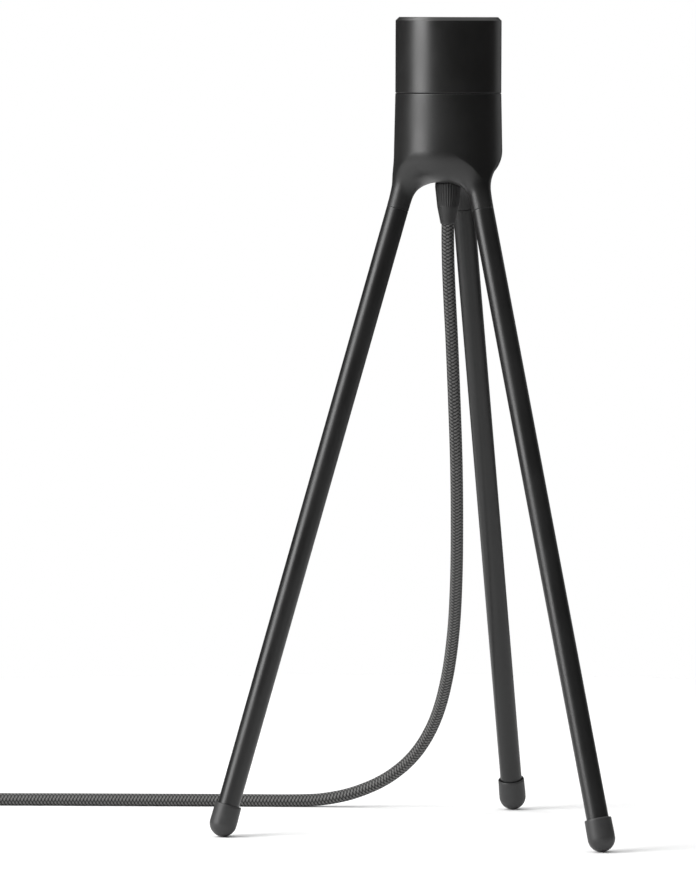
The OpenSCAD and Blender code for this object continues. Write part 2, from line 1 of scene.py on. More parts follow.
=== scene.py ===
"""Looks of a tripod table-lamp base: cast hub, slim legs, screw collar, lampholder and mains cord."""

import logging
import math
from collections.abc import Callable, Sequence
from dataclasses import dataclass
from enum import Enum

import bpy
import numpy as np
from mathutils import Matrix, Vector


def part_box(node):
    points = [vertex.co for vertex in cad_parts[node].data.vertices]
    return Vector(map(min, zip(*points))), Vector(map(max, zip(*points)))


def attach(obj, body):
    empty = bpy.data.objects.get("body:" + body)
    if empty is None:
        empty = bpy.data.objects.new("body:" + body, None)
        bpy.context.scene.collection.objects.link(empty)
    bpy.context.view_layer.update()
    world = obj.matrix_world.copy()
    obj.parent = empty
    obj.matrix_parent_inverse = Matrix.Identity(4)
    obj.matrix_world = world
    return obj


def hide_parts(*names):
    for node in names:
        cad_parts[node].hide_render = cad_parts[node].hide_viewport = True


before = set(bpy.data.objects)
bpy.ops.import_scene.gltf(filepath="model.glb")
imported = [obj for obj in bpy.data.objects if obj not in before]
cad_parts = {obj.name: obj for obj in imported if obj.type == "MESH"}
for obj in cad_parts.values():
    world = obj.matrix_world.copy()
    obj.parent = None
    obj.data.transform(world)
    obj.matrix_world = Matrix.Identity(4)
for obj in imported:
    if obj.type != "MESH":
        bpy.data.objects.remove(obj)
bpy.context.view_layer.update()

log = logging.getLogger("lamp_base")
MM = 0.001
TURN = 2 * math.pi


# ---- Surfaces ------------------------------------------------------------------------------------


@dataclass
class Solid:
    """One closed surface: its points in millimetres, its faces, and a texture place per face corner."""

    points: np.ndarray
    faces: list[np.ndarray]
    corners: list[np.ndarray] | None = None

    def volume(self) -> float:
        """Return the signed volume, the sum of the tetrahedra between each triangle and the origin."""
        total = 0.0
        centre = self.points.mean(axis=0)
        for group in self.faces:
            p = self.points[group] - centre
            for k in range(1, group.shape[1] - 1):
                total += np.einsum("ij,ij->i", p[:, 0], np.cross(p[:, k], p[:, k + 1])).sum() / 6
        return float(total)

    def outward(self) -> "Solid":
        """Turn every face round where the surface is inside out, and return the solid."""
        if self.volume() < 0:
            self.faces = [group[:, ::-1] for group in self.faces]
            if self.corners is not None:
                self.corners = [group[:, ::-1] for group in self.corners]
        return self

    def placed(self, matrix: np.ndarray) -> "Solid":
        """Return the solid moved by a 4 by 4 matrix."""
        points = self.points @ matrix[:3, :3].T + matrix[:3, 3]
        return Solid(points, self.faces, self.corners)


def smooth_step(x: np.ndarray, low: float, high: float) -> np.ndarray:
    """Return 0 below low, 1 above high, and the cubic 3t^2 - 2t^3 between them."""
    t = np.clip((np.asarray(x, float) - low) / (high - low), 0, 1)
    return t * t * (3 - 2 * t)


def arc(centre: tuple[float, float], radius: float, start: float, end: float, count: int = 8) -> np.ndarray:
    """Return points of an arc, centre + radius * (cos a, sin a), for a from start to end in degrees."""
    a = np.radians(np.linspace(start, end, count + 1))
    return np.stack([centre[0] + radius * np.cos(a), centre[1] + radius * np.sin(a)], axis=1)


def rounded(outline: Sequence[tuple[float, float, float]], count: int = 5) -> np.ndarray:
    """Round the corners of a closed outline.

    Each corner becomes the quadratic curve from a point its radius before it, bent by the corner
    itself, to a point as far after it.

    Args:
        outline: corners as (x, y, radius); a radius of 0 leaves the corner sharp.
        count: steps along each rounded corner.

    Returns:
        The rounded outline's points, one per row.
    """
    corners = np.array(outline, float)
    result = []
    for k, (x, y, r) in enumerate(corners):
        here = np.array([x, y])
        if r == 0:
            result.append(here[None])
            continue
        before = corners[k - 1, :2] - here
        after = corners[(k + 1) % len(corners), :2] - here
        a = here + before / np.linalg.norm(before) * r
        b = here + after / np.linalg.norm(after) * r
        t = np.linspace(0, 1, count + 1)[:, None]
        result.append((1 - t) ** 2 * a + 2 * t * (1 - t) * here + t ** 2 * b)
    return np.vstack(result)


def grid_quads(index: np.ndarray, wrap_rows: bool, wrap_columns: bool) -> np.ndarray:
    """Return the four point numbers of each cell in a grid of point numbers."""
    if wrap_rows:
        index = np.vstack([index, index[:1]])
    if wrap_columns:
        index = np.hstack([index, index[:, :1]])
    cells = [index[:-1, :-1], index[1:, :-1], index[1:, 1:], index[:-1, 1:]]
    return np.stack(cells, axis=-1).reshape(-1, 4)


def lofted(rings: np.ndarray, closed: bool = False) -> Solid:
    """Join rings of points into a closed solid.

    Args:
        rings: points as (ring, place round the ring, xyz).
        closed: True joins the last ring to the first; False closes both ends with a fan.

    Returns:
        The solid, faces outward.
    """
    rows, columns = rings.shape[:2]
    index = np.arange(rows * columns).reshape(rows, columns)
    points = rings.reshape(-1, 3)
    faces = [grid_quads(index, closed, True)]
    if not closed:
        ends = np.vstack([rings[0].mean(axis=0), rings[-1].mean(axis=0)])
        for ring, tip, back in ((index[0], len(points), True), (index[-1], len(points) + 1, False)):
            fan = np.stack([ring, np.roll(ring, -1), np.full(columns, tip)], axis=1)
            faces.append(fan[:, ::-1] if back else fan)
        points = np.vstack([points, ends])
    return Solid(points, faces).outward()


def revolved(
    profile: np.ndarray,
    segments: int = 128,
    radius: Callable[[np.ndarray, np.ndarray, np.ndarray], np.ndarray] | None = None,
    closed: bool = True,
) -> Solid:
    """Turn a profile of (r, z) about Z: the point at angle a is (r cos a, r sin a, z).

    Args:
        profile: the outline's points, as (r, z).
        segments: columns in a full turn.
        radius: gives r from (r, z, a) on the whole grid, for threads and ribs.
        closed: True for an outline that returns to its start, False for one that ends on the axis.

    Returns:
        The solid, faces outward.
    """
    a = np.linspace(0, TURN, segments, endpoint=False)[None, :]
    r = np.repeat(profile[:, :1], segments, axis=1)
    z = np.repeat(profile[:, 1:2], segments, axis=1)
    a = np.repeat(a, len(profile), axis=0)
    if radius is not None:
        r = radius(r, z, a)
    return lofted(np.stack([r * np.cos(a), r * np.sin(a), z], axis=-1), closed)


def thread_wave(z: np.ndarray, a: np.ndarray, pitch: float, flank: float) -> np.ndarray:
    """Return a right-hand thread's height, 1 at the crest and 0 in the root.

    It is a triangle wave of z / pitch - a / one turn, cut flat at the crest and the root.

    Args:
        z: height on the grid.
        a: angle on the grid.
        pitch: distance between crests.
        flank: share of the pitch that both flanks take.
    """
    place = np.mod(z / pitch - a / TURN, 1)
    triangle = 1 - 2 * np.abs(place - 0.5)
    return np.clip((triangle - 0.5) * 2 / flank + 0.5, 0, 1)


def frames(path: np.ndarray) -> tuple[np.ndarray, np.ndarray]:
    """Return two side directions at each point of a path, carried along it without twist.

    The first comes from one fixed direction made square to the path; the twist that this adds from
    point to point is summed and turned back.

    Args:
        path: the points, one per row.

    Returns:
        Two arrays of unit vectors, square to the path and to each other.
    """
    t = np.gradient(path, axis=0)
    t /= np.linalg.norm(t, axis=1)[:, None]
    guess = np.array([0.31, 0.17, 0.93])
    u = guess - t * (t @ guess)[:, None]
    u /= np.linalg.norm(u, axis=1)[:, None]
    v = np.cross(t, u)
    moved = u[:-1] - t[1:] * np.einsum("ij,ij->i", u[:-1], t[1:])[:, None]
    twist = np.arctan2(np.einsum("ij,ij->i", moved, v[1:]), np.einsum("ij,ij->i", moved, u[1:]))
    turn = np.concatenate([[0], np.cumsum(twist)])[:, None]
    side = u * np.cos(turn) + v * np.sin(turn)
    return side, np.cross(t, side)


def swept(path: np.ndarray, radius: np.ndarray | float, columns: int = 24, uv: bool = False) -> Solid:
    """Carry a circle along a path, as one closed tube.

    Point (s, a) is path(s) + radius(s) * (cos a * side + sin a * across). The texture place is
    (a as a share of a turn, metres along the path).

    Args:
        path: the centres of the rings.
        radius: one radius, or one per ring.
        columns: points round the tube.
        uv: True keeps a texture place for each face corner.
    """
    side, across = frames(path)
    a = np.linspace(0, TURN, columns, endpoint=False)[None, :, None]
    r = np.broadcast_to(np.asarray(radius, float), (len(path),))[:, None, None]
    rings = path[:, None] + r * (np.cos(a) * side[:, None] + np.sin(a) * across[:, None])
    tube = lofted(rings)
    if uv:
        steps = np.linalg.norm(np.diff(path, axis=0), axis=1)
        v = np.concatenate([[0], np.cumsum(steps)]) * MM
        u = np.arange(columns + 1) / columns
        spots = np.stack(np.broadcast_arrays(u[None, :], v[:, None]), axis=-1)
        cells = [spots[:-1, :-1], spots[1:, :-1], spots[1:, 1:], spots[:-1, 1:]]
        quads = np.stack(cells, axis=2).reshape(-1, 4, 2)
        index = np.arange(len(path) * columns).reshape(len(path), columns)
        if not np.array_equal(tube.faces[0][0], grid_quads(index, False, True)[0]):
            quads = quads[:, ::-1]
        tube.corners = [quads] + [np.zeros(group.shape + (2,)) for group in tube.faces[1:]]
    return tube


def prism(outline: np.ndarray, levels: Sequence[tuple[float, float]]) -> Solid:
    """Stack insets of an outline: each level's ring is the outline moved in along its normals.

    Args:
        outline: points of a closed outline, as (x, y).
        levels: pairs of (height, inset), from the bottom up.
    """
    ahead = np.roll(outline, -1, axis=0) - outline
    ahead /= np.linalg.norm(ahead, axis=1)[:, None] + 1e-12
    behind = np.roll(ahead, 1, axis=0)
    normal = np.stack([ahead[:, 1] + behind[:, 1], -ahead[:, 0] - behind[:, 0]], axis=1)
    normal /= np.linalg.norm(normal, axis=1)[:, None] + 1e-12
    area = np.sum(outline[:, 0] * np.roll(outline[:, 1], -1) - np.roll(outline[:, 0], -1) * outline[:, 1])
    if area < 0:
        normal = -normal
    rings = [np.column_stack([outline - inset * normal, np.full(len(outline), z)]) for z, inset in levels]
    return lofted(np.array(rings))


def matrix_of(matrix: Matrix) -> np.ndarray:
    """Return a Blender matrix as an array."""
    return np.array(matrix)


def add_piece(name: str, solids: Sequence[Solid], sharp: float = 35) -> bpy.types.Object:
    """Make one mesh object of closed solids, smooth but for edges sharper than an angle.

    Args:
        name: the piece's name.
        solids: its closed surfaces, in millimetres.
        sharp: the least angle between faces, in degrees, at which an edge stays sharp.

    Returns:
        The object, at the origin and in metres.
    """
    points = np.vstack([s.points for s in solids]) * MM
    faces: list[list[int]] = []
    places: list[np.ndarray] = []
    start = 0
    for s in solids:
        for k, group in enumerate(s.faces):
            faces += (group + start).tolist()
            if s.corners is not None:
                places.append(s.corners[k].reshape(-1, 2))
        start += len(s.points)
    mesh = bpy.data.meshes.new(name)
    mesh.from_pydata(points, [], faces)
    mesh.update()
    if places:
        layer = mesh.uv_layers.new(name="along")
        layer.data.foreach_set("uv", np.vstack(places).astype(np.float32).ravel())
    mesh.polygons.foreach_set("use_smooth", np.ones(len(faces), bool))
    mesh.set_sharp_from_angle(angle=math.radians(sharp))
    obj = bpy.data.objects.new(name, mesh)
    bpy.context.scene.collection.objects.link(obj)
    log.info("%s: %d points, %d faces", name, len(points), len(faces))
    return obj


# ---- Shader maths --------------------------------------------------------------------------------


class Socket:
    """A shader value that Python's operators work on, by adding Math nodes."""

    def __init__(self, net: "Net", out: bpy.types.NodeSocket) -> None:
        """Wrap one output of a node in a net."""
        self.net = net
        self.out = out

    def _math(self, operation: str, *values: "Socket | float") -> "Socket":
        """Add one Math node on the given values."""
        return self.net.add("ShaderNodeMath", {"operation": operation}, dict(enumerate(values)))

    def __add__(self, other: "Socket | float") -> "Socket":
        """Return self + other."""
        return self._math("ADD", self, other)

    __radd__ = __add__

    def __mul__(self, other: "Socket | float") -> "Socket":
        """Return self * other."""
        return self._math("MULTIPLY", self, other)

    __rmul__ = __mul__

    def __sub__(self, other: "Socket | float") -> "Socket":
        """Return self - other."""
        return self._math("SUBTRACT", self, other)

    def __rsub__(self, other: "Socket | float") -> "Socket":
        """Return other - self."""
        return self._math("SUBTRACT", other, self)

    def __truediv__(self, other: "Socket | float") -> "Socket":
        """Return self / other."""
        return self._math("DIVIDE", self, other)

    def __pow__(self, other: "Socket | float") -> "Socket":
        """Return self to the power of other."""
        return self._math("POWER", self, other)

    def __lt__(self, other: "Socket | float") -> "Socket":
        """Return 1 where self is below other."""
        return self._math("LESS_THAN", self, other)

    def floor(self) -> "Socket":
        """Return the whole part."""
        return self._math("FLOOR", self)

    def fract(self) -> "Socket":
        """Return what floor leaves."""
        return self._math("FRACT", self)

    def sine(self) -> "Socket":
        """Return the sine."""
        return self._math("SINE", self)

    def size(self) -> "Socket":
        """Return the value without its sign."""
        return self._math("ABSOLUTE", self)

    def cycle(self, length: float) -> "Socket":
        """Return the value's place in a cycle of this length, from 0 up."""
        return self._math("FLOORED_MODULO", self, length)

    def ramp(self, low: float, high: float, start: float = 0, end: float = 1) -> "Socket":
        """Map low..high smoothly to start..end, and hold it beyond."""
        values = {"Value": self, "From Min": low, "From Max": high, "To Min": start, "To Max": end}
        return self.net.add("ShaderNodeMapRange", {"interpolation_type": "SMOOTHSTEP"}, values)


class Net:
    """The nodes of one material or world, with one method that adds any of them."""

    def __init__(self, owner: bpy.types.Material | bpy.types.World, shader: str, output: str) -> None:
        """Start an owner's nodes with one shader that feeds the output."""
        self.owner = owner
        self.owner.use_nodes = True
        self.tree = self.owner.node_tree
        self.tree.nodes.clear()
        self.shader = self.tree.nodes.new(shader)
        end = self.tree.nodes.new(output)
        self.tree.links.new(self.shader.outputs[0], end.inputs["Surface"])

    @classmethod
    def of_material(cls, name: str) -> "Net":
        """Start a material with a Principled shader."""
        material = bpy.data.materials.new(name)
        return cls(material, "ShaderNodeBsdfPrincipled", "ShaderNodeOutputMaterial")

    def _fill(self, node: bpy.types.Node, values: dict) -> None:
        """Set or link the named or numbered inputs of a node."""
        for key, value in values.items():
            target = node.inputs[key]
            if isinstance(value, Socket):
                self.tree.links.new(value.out, target)
            else:
                target.default_value = value

    def add(self, kind: str, settings: dict, values: dict, out: int | str = 0) -> Socket:
        """Add a node.

        Args:
            kind: the node's type.
            settings: its properties, set before its sockets; "stops" gives a colour ramp's stops.
            values: a value or a Socket for each named or numbered input.
            out: the output to return.
        """
        node = self.tree.nodes.new(kind)
        for key, value in settings.items():
            if key == "stops":
                ramp = node.color_ramp.elements
                for k, (place, colour) in enumerate(value):
                    stop = ramp[k] if k < 2 else ramp.new(place)
                    stop.position = place
                    stop.color = colour
            else:
                setattr(node, key, value)
        self._fill(node, values)
        return Socket(self, node.outputs[out])

    def finish(self, values: dict) -> bpy.types.Material | bpy.types.World:
        """Set the shader's inputs and return the material or world."""
        self._fill(self.shader, values)
        return self.owner

    def place(self) -> Socket:
        """Return the place on the object, in metres."""
        return self.add("ShaderNodeTexCoord", {}, {}, "Object")

    def along(self) -> tuple[Socket, Socket]:
        """Return the two texture places of a swept piece: round it, and metres along it."""
        uv = self.add("ShaderNodeUVMap", {"uv_map": "along"}, {})
        round_it, along_it, _ = self.axes(uv)
        return round_it, along_it

    def axes(self, at: Socket) -> tuple[Socket, Socket, Socket]:
        """Split a vector into three values."""
        node = self.add("ShaderNodeSeparateXYZ", {}, {0: at}).out.node
        return Socket(self, node.outputs[0]), Socket(self, node.outputs[1]), Socket(self, node.outputs[2])

    def stretched(self, at: Socket, scale: tuple[float, float, float]) -> Socket:
        """Scale a vector's three axes."""
        return self.add("ShaderNodeVectorMath", {"operation": "MULTIPLY"}, {0: at, 1: scale})

    def noise(self, at: Socket, size: float, detail: float = 2, rough: float = 0.5) -> Socket:
        """Return noise from 0 to 1 whose grains are about this many metres across."""
        values = {"Vector": at, "Scale": 1 / size, "Detail": detail, "Roughness": rough}
        return self.add("ShaderNodeTexNoise", {}, values)

    def blended(self, share: Socket | float, low: Sequence[float], high: Sequence[float]) -> Socket:
        """Mix two colours by a share."""
        settings = {"data_type": "RGBA"}
        colours = {0: share, 6: (*low, 1.0), 7: (*high, 1.0)}
        return self.add("ShaderNodeMix", settings, colours, 2)

    def bump(self, height: Socket, depth: float, strength: float = 1) -> Socket:
        """Turn a height from 0 to 1 into a normal, for a relief of this depth in metres."""
        values = {"Height": height, "Distance": depth, "Strength": strength}
        return self.add("ShaderNodeBump", {}, values)


Colour = tuple[float, float, float]


@dataclass(frozen=True)
class PowderCoat:
    """Fine satin coat on metal: an orange-peel relief, slight mottling and a little dust."""

    name: str
    colour: Colour = (0.0072, 0.0071, 0.0070)
    roughness: float = 0.40
    peel: float = 0.0011
    depth: float = 0.000018

    def build(self) -> bpy.types.Material:
        """Return the material."""
        net = Net.of_material(self.name)
        at = net.place()
        peel = net.noise(at, self.peel, 2, 0.45)
        grain = net.noise(at, 0.00035, 1, 0.5)
        cloud = net.noise(at, 0.03, 3, 0.55)
        dust = net.noise(at, 0.0006, 0, 0.5).ramp(0.73, 0.80)
        light = tuple(1.35 * c for c in self.colour)
        shade = cloud.ramp(0.3, 0.7) * 0.6 + dust * 0.7
        colour = net.blended(shade, self.colour, light)
        rough = cloud.ramp(0.3, 0.7, self.roughness - 0.035, self.roughness + 0.035) + grain * 0.03
        relief = peel * 0.8 + grain * 0.2
        values = {"Base Color": colour, "Roughness": rough, "Normal": net.bump(relief, self.depth)}
        return net.finish({**values, "IOR": 1.5})


@dataclass(frozen=True)
class TurnedCoat:
    """Thin satin coat over a turned sleeve: faint rings round Z under a fine grain."""

    name: str
    colour: Colour = (0.0078, 0.0077, 0.0076)
    roughness: float = 0.33

    def build(self) -> bpy.types.Material:
        """Return the material."""
        net = Net.of_material(self.name)
        at = net.place()
        rings = net.noise(net.stretched(at, (0.02, 0.02, 1.0)), 0.00022, 2, 0.6)
        grain = net.noise(at, 0.0005, 2, 0.5)
        cloud = net.noise(at, 0.022, 3, 0.5)
        light = tuple(1.3 * c for c in self.colour)
        colour = net.blended(cloud.ramp(0.3, 0.7), self.colour, light)
        rough = cloud.ramp(0.3, 0.7, self.roughness - 0.03, self.roughness + 0.03) + rings * 0.04
        normal = net.bump(rings * 0.5 + grain * 0.5, 0.000009)
        return net.finish({"Base Color": colour, "Roughness": rough, "Normal": normal, "IOR": 1.5})


@dataclass(frozen=True)
class Moulded:
    """Moulded plastic or rubber: spark-eroded grain, slight clouding and small rubbed spots."""

    name: str
    colour: Colour = (0.019, 0.019, 0.0192)
    roughness: float = 0.5
    grain: float = 0.00045
    depth: float = 0.00002

    def build(self) -> bpy.types.Material:
        """Return the material."""
        net = Net.of_material(self.name)
        at = net.place()
        grain = net.noise(at, self.grain, 3, 0.6)
        cloud = net.noise(at, 0.012, 3, 0.55)
        rubbed = net.noise(at, 0.004, 4, 0.7).ramp(0.62, 0.75)
        light = tuple(min(1.0, 1.4 * c + 0.004) for c in self.colour)
        colour = net.blended(cloud.ramp(0.35, 0.7) * 0.7 + rubbed * 0.3, self.colour, light)
        rough = cloud.ramp(0.3, 0.7, self.roughness - 0.05, self.roughness + 0.05) - rubbed * 0.08
        normal = net.bump(grain, self.depth)
        return net.finish({"Base Color": colour, "Roughness": rough, "Normal": normal, "IOR": 1.48})


@dataclass(frozen=True)
class Phenolic:
    """Hard pressed resin with a fine two-tone mottle and a slight gloss."""

    name: str
    colour: Colour = (0.05, 0.036, 0.027)

    def build(self) -> bpy.types.Material:
        """Return the material."""
        net = Net.of_material(self.name)
        at = net.place()
        mottle = net.noise(at, 0.0012, 5, 0.75)
        cloud = net.noise(at, 0.008, 3, 0.5)
        dark = tuple(0.45 * c for c in self.colour)
        colour = net.blended(mottle.ramp(0.38, 0.62) * 0.8 + cloud * 0.2, dark, self.colour)
        rough = mottle.ramp(0.3, 0.7, 0.26, 0.38)
        return net.finish({"Base Color": colour, "Roughness": rough, "Normal": net.bump(mottle, 0.000012)})


@dataclass(frozen=True)
class Metal:
    """Bare or plated metal: drawn lines along one axis, a little tarnish and small scuffs."""

    name: str
    colour: Colour
    roughness: float = 0.28
    drawn: tuple[float, float, float] = (1.0, 1.0, 0.06)

    def build(self) -> bpy.types.Material:
        """Return the material."""
        net = Net.of_material(self.name)
        at = net.place()
        lines = net.noise(net.stretched(at, self.drawn), 0.0003, 3, 0.6)
        tarnish = net.noise(at, 0.004, 4, 0.6).ramp(0.42, 0.72)
        dull = tuple(0.62 * c for c in self.colour)
        colour = net.blended(tarnish, self.colour, dull)
        rough = tarnish * 0.16 + lines * 0.12 + (self.roughness - 0.08)
        values = {"Base Color": colour, "Roughness": rough, "Metallic": 1.0}
        return net.finish({**values, "Normal": net.bump(lines, 0.000006)})


@dataclass(frozen=True)
class Braid:
    """Tubular textile braid: carriers of two yarn ends, each over two and under two.

    With u round the cord and v along it, a = carriers * u + v / pitch and b = carriers * u -
    v / pitch number the two ways the yarns run. In the cell (floor a, floor b) the first way lies
    on top where their sum, taken in fours, is below two.
    """

    name: str
    carriers: int = 6
    pitch: float = 0.00166
    # strand is the yarns' colour as painted on their lit crowns; gap is the painted shade between the yarns.
    strand: Colour = (0.13, 0.128, 0.125)
    gap: Colour = (0.0025, 0.0025, 0.0025)

    def _yarn(self, across: Socket, along: Socket) -> tuple[Socket, Socket]:
        """Return a yarn's height, and a factor that dips in the creases between its fine ends, from the
        places across it and along its float; the factor shapes the relief and also paints shade into those
        creases.
        """
        side = (across - 0.5).size() * 2
        crown = 1 - side ** 2.4
        hump = (along * math.pi).sine() ** 0.9
        ends = ((across * 2).fract() - 0.5).size() * 2
        return crown * (hump * 0.55 + 0.45), 1 - ends ** 3 * 0.45

    def build(self) -> bpy.types.Material:
        """Return the material."""
        net = Net.of_material(self.name)
        u, v = net.along()
        turn = u * self.carriers
        rise = v / self.pitch
        a = turn + rise
        b = turn - rise
        i = a.floor()
        j = b.floor()
        first = (i + j).cycle(4) < 2
        height_a, ends_a = self._yarn(a.fract(), (b + i).cycle(4) / 2)
        height_b, ends_b = self._yarn(b.fract(), ((a + j).cycle(4) - 2) / 2)
        height = first * height_a + (1 - first) * height_b
        ends = first * ends_a + (1 - first) * ends_b
        at = net.place()
        fuzz = net.noise(at, 0.00018, 2, 0.6)
        cloud = net.noise(at, 0.02, 3, 0.5)
        # Painted shade: the colour darkens towards each cell's corners, where the yarns cross and dip under
        # one another.
        corner = (a.fract() - 0.5).size() + (b.fract() - 0.5).size()
        crossing_shade = 1 - corner.ramp(0.45, 0.7) * 0.95
        # Painted light and shade: the yarns' crowns are painted light, and their sides, the creases between
        # their ends and the gaps are painted dark; fuzz and cloud only vary the tone at random.
        lit = height.ramp(0.25, 0.95) * ends * crossing_shade * (fuzz * 0.5 + 0.75) * (cloud * 0.3 + 0.85)
        colour = net.blended(lit, self.gap, self.strand)
        relief = height * ends + fuzz * 0.12
        rough = height.ramp(0.2, 0.9, 0.72, 0.46)
        normal = net.bump(relief, 0.00022)
        return net.finish({"Base Color": colour, "Roughness": rough, "Normal": normal, "IOR": 1.5})


@dataclass(frozen=True)
class Woven:
    """Plain woven strap in three axes' weave, for a narrow black tie."""

    name: str
    colour: Colour = (0.03, 0.03, 0.031)
    thread: float = 0.0006

    def build(self) -> bpy.types.Material:
        """Return the material."""
        net = Net.of_material(self.name)
        at = net.place()
        x, y, z = net.axes(at)
        wave = TURN / self.thread
        weave = ((x * wave).sine() * (y * wave).sine() + (z * wave).sine() * (y * wave).sine()) * 0.25 + 0.5
        fuzz = net.noise(at, 0.0003, 3, 0.6)
        # Painted shade: the weave's low places between the threads take the darker colour; the fuzz only
        # varies the tone at random.
        dark = tuple(0.3 * c for c in self.colour)
        colour = net.blended(weave * 0.7 + fuzz * 0.3, dark, self.colour)
        rough = fuzz.ramp(0.2, 0.8, 0.65, 0.85)
        return net.finish({"Base Color": colour, "Roughness": rough, "Normal": net.bump(weave, 0.00012)})


@dataclass(frozen=True)
class PaleFloor:
    """Plain matt studio floor with a very faint unevenness."""

    name: str
    colour: Colour = (0.9, 0.9, 0.9)

    def build(self) -> bpy.types.Material:
        """Return the material."""
        net = Net.of_material(self.name)
        at = net.place()
        cloud = net.noise(at, 0.25, 2, 0.5)
        tint = tuple(0.985 * c for c in self.colour)
        colour = net.blended(cloud, tint, self.colour)
        rough = cloud.ramp(0.2, 0.8, 0.88, 0.95)
        return net.finish({"Base Color": colour, "Roughness": rough, "Specular IOR Level": 0.2})


class Finishes:
    """Every finish of the lamp base, made once and given to pieces by its slot's name."""

    def __init__(self) -> None:
        """Build the materials."""
        black = (0.0185, 0.0185, 0.0187)
        kinds = [
            PowderCoat("coated_metal"),
            PowderCoat("leg_metal", (0.0046, 0.0046, 0.0046), 0.36, 0.0009),
            TurnedCoat("collar_metal"),
            Moulded("foot_plastic", black, 0.48, 0.0006, 0.000012),
            Moulded("grip_plastic", (0.017, 0.017, 0.017), 0.46),
            Moulded("black_plastic", black, 0.4),
            Phenolic("contact_block"),
            Metal("nickel", (0.74, 0.71, 0.66), 0.22),
            Metal("brass", (0.80, 0.58, 0.27), 0.27),
            Metal("steel", (0.56, 0.56, 0.57), 0.32),
            Braid("cord_textile"),
            Woven("tie_strap"),
            Moulded("switch_plastic", black, 0.33, 0.0007, 0.000008),
            Moulded("plug_plastic", black, 0.47),
            Moulded("wire_brown", (0.16, 0.065, 0.028), 0.36, 0.001, 0.00001),
            Moulded("wire_blue", (0.02, 0.09, 0.36), 0.36, 0.001, 0.00001),
        ]
        self.made = {kind.name: kind.build() for kind in kinds}
        self.floor = PaleFloor("pale_floor").build()

    def dress(self, obj: bpy.types.Object, slot: str) -> None:
        """Give an object the one finish of a slot."""
        obj.data.materials.clear()
        obj.data.materials.append(self.made[slot])

    def dress_cad(self, slots: dict[str, str]) -> None:
        """Give each carried-over CAD node its finish, in every slot its mesh has."""
        for node, slot in slots.items():
            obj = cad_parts[node]
            for place in obj.material_slots:
                place.material = self.made[slot]
            if not obj.material_slots:
                obj.data.materials.append(self.made[slot])
            log.info("%s keeps its CAD shape, finish %s", node, slot)


def place_piece(
    finishes: Finishes,
    name: str,
    solids: Sequence[Solid],
    body: str,
    slot: str,
    nodes: Sequence[str],
    sharp: float = 35,
) -> bpy.types.Object:
    """Make a piece, dress it, let it ride on its body, and stand it in for its CAD nodes.

    Args:
        finishes: the made materials.
        name: the piece's name.
        solids: its closed surfaces.
        body: the body it moves with.
        slot: its material slot.
        nodes: the CAD nodes it replaces.
        sharp: the least angle of a sharp edge, in degrees.
    """
    obj = add_piece(name, solids, sharp)
    finishes.dress(obj, slot)
    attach(obj, body)
    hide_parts(*nodes)
    return obj


def held(profile: np.ndarray, gap: float = 0.4) -> np.ndarray:
    """Add a point near both ends of each long side of a closed profile, so that flats stay flat."""
    result = []
    for here, there in zip(profile, np.roll(profile, -1, axis=0)):
        result.append(here)
        length = float(np.linalg.norm(there - here))
        if length > 4 * gap:
            way = (there - here) / length
            result += [here + way * gap, there - way * gap]
    return np.array(result)


def span(node: str) -> tuple[np.ndarray, np.ndarray]:
    """Return a CAD node's lowest and highest corners in millimetres."""
    low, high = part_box(node)
    return np.array(low) / MM, np.array(high) / MM


@dataclass(frozen=True)
class Layout:
    """Radii and heights that several sub-assemblies share, in millimetres, from the CAD boxes."""

    hub_z: float
    collar_z: float
    collar_top: float
    rim_r: float
    skirt_z: float
    skirt_top: float
    skirt_r: float
    ring_z: float
    ring_top: float
    shell_z: float
    shell_top: float
    shell_r: float
    grip_z: float
    grip_top: float
    leg_lean: float = 16
    leg_len: float = 288.2
    leg_turn: float = 72.3
    leg_r: float = 5
    foot_r: float = 6.2
    foot_dome_r: float = 8
    stud_r: float = 3
    stud_half: float = 14
    joint_drop: float = 12
    joint_r: float = 23.4

    @classmethod
    def from_frame(cls) -> "Layout":
        """Read the shared sizes off the CAD nodes' boxes."""
        collar, skirt, ring, shell, grip = (
            span(n) for n in ("collar", "lampholder_skirt", "collar_ring", "screw_shell", "grip_cap")
        )
        joint_z = cls.foot_dome_r + cls.leg_len * math.cos(math.radians(cls.leg_lean))
        return cls(
            hub_z=joint_z + cls.joint_drop, collar_z=collar[0][2], collar_top=collar[1][2],
            rim_r=collar[1][0], skirt_z=skirt[0][2], skirt_top=skirt[1][2], skirt_r=skirt[1][0],
            ring_z=ring[0][2], ring_top=ring[1][2], shell_z=shell[0][2], shell_top=shell[1][2],
            shell_r=shell[1][0], grip_z=grip[0][2], grip_top=grip[1][2],
        )


class Leg(Enum):
    """The three legs, numbered round from the back one."""

    BACK = 0
    LEFT = 1
    RIGHT = 2

    @property
    def label(self) -> str:
        """Return the name that the leg's nodes and bodies end with."""
        return self.name.lower()

    def matrix(self, layout: Layout) -> np.ndarray:
        """Return the leg's own frame: Z runs up the leg, from the centre of its foot's dome."""
        out = layout.joint_r + layout.leg_len * math.sin(math.radians(layout.leg_lean))
        turn = Matrix.Rotation(math.radians(layout.leg_turn + 120 * self.value), 4, "Z")
        place = Matrix.Translation(Vector((out, 0, layout.foot_dome_r)))
        return matrix_of(turn @ place @ Matrix.Rotation(-math.radians(layout.leg_lean), 4, "Y"))


# ---- Cord ----------------------------------------------------------------------------------------


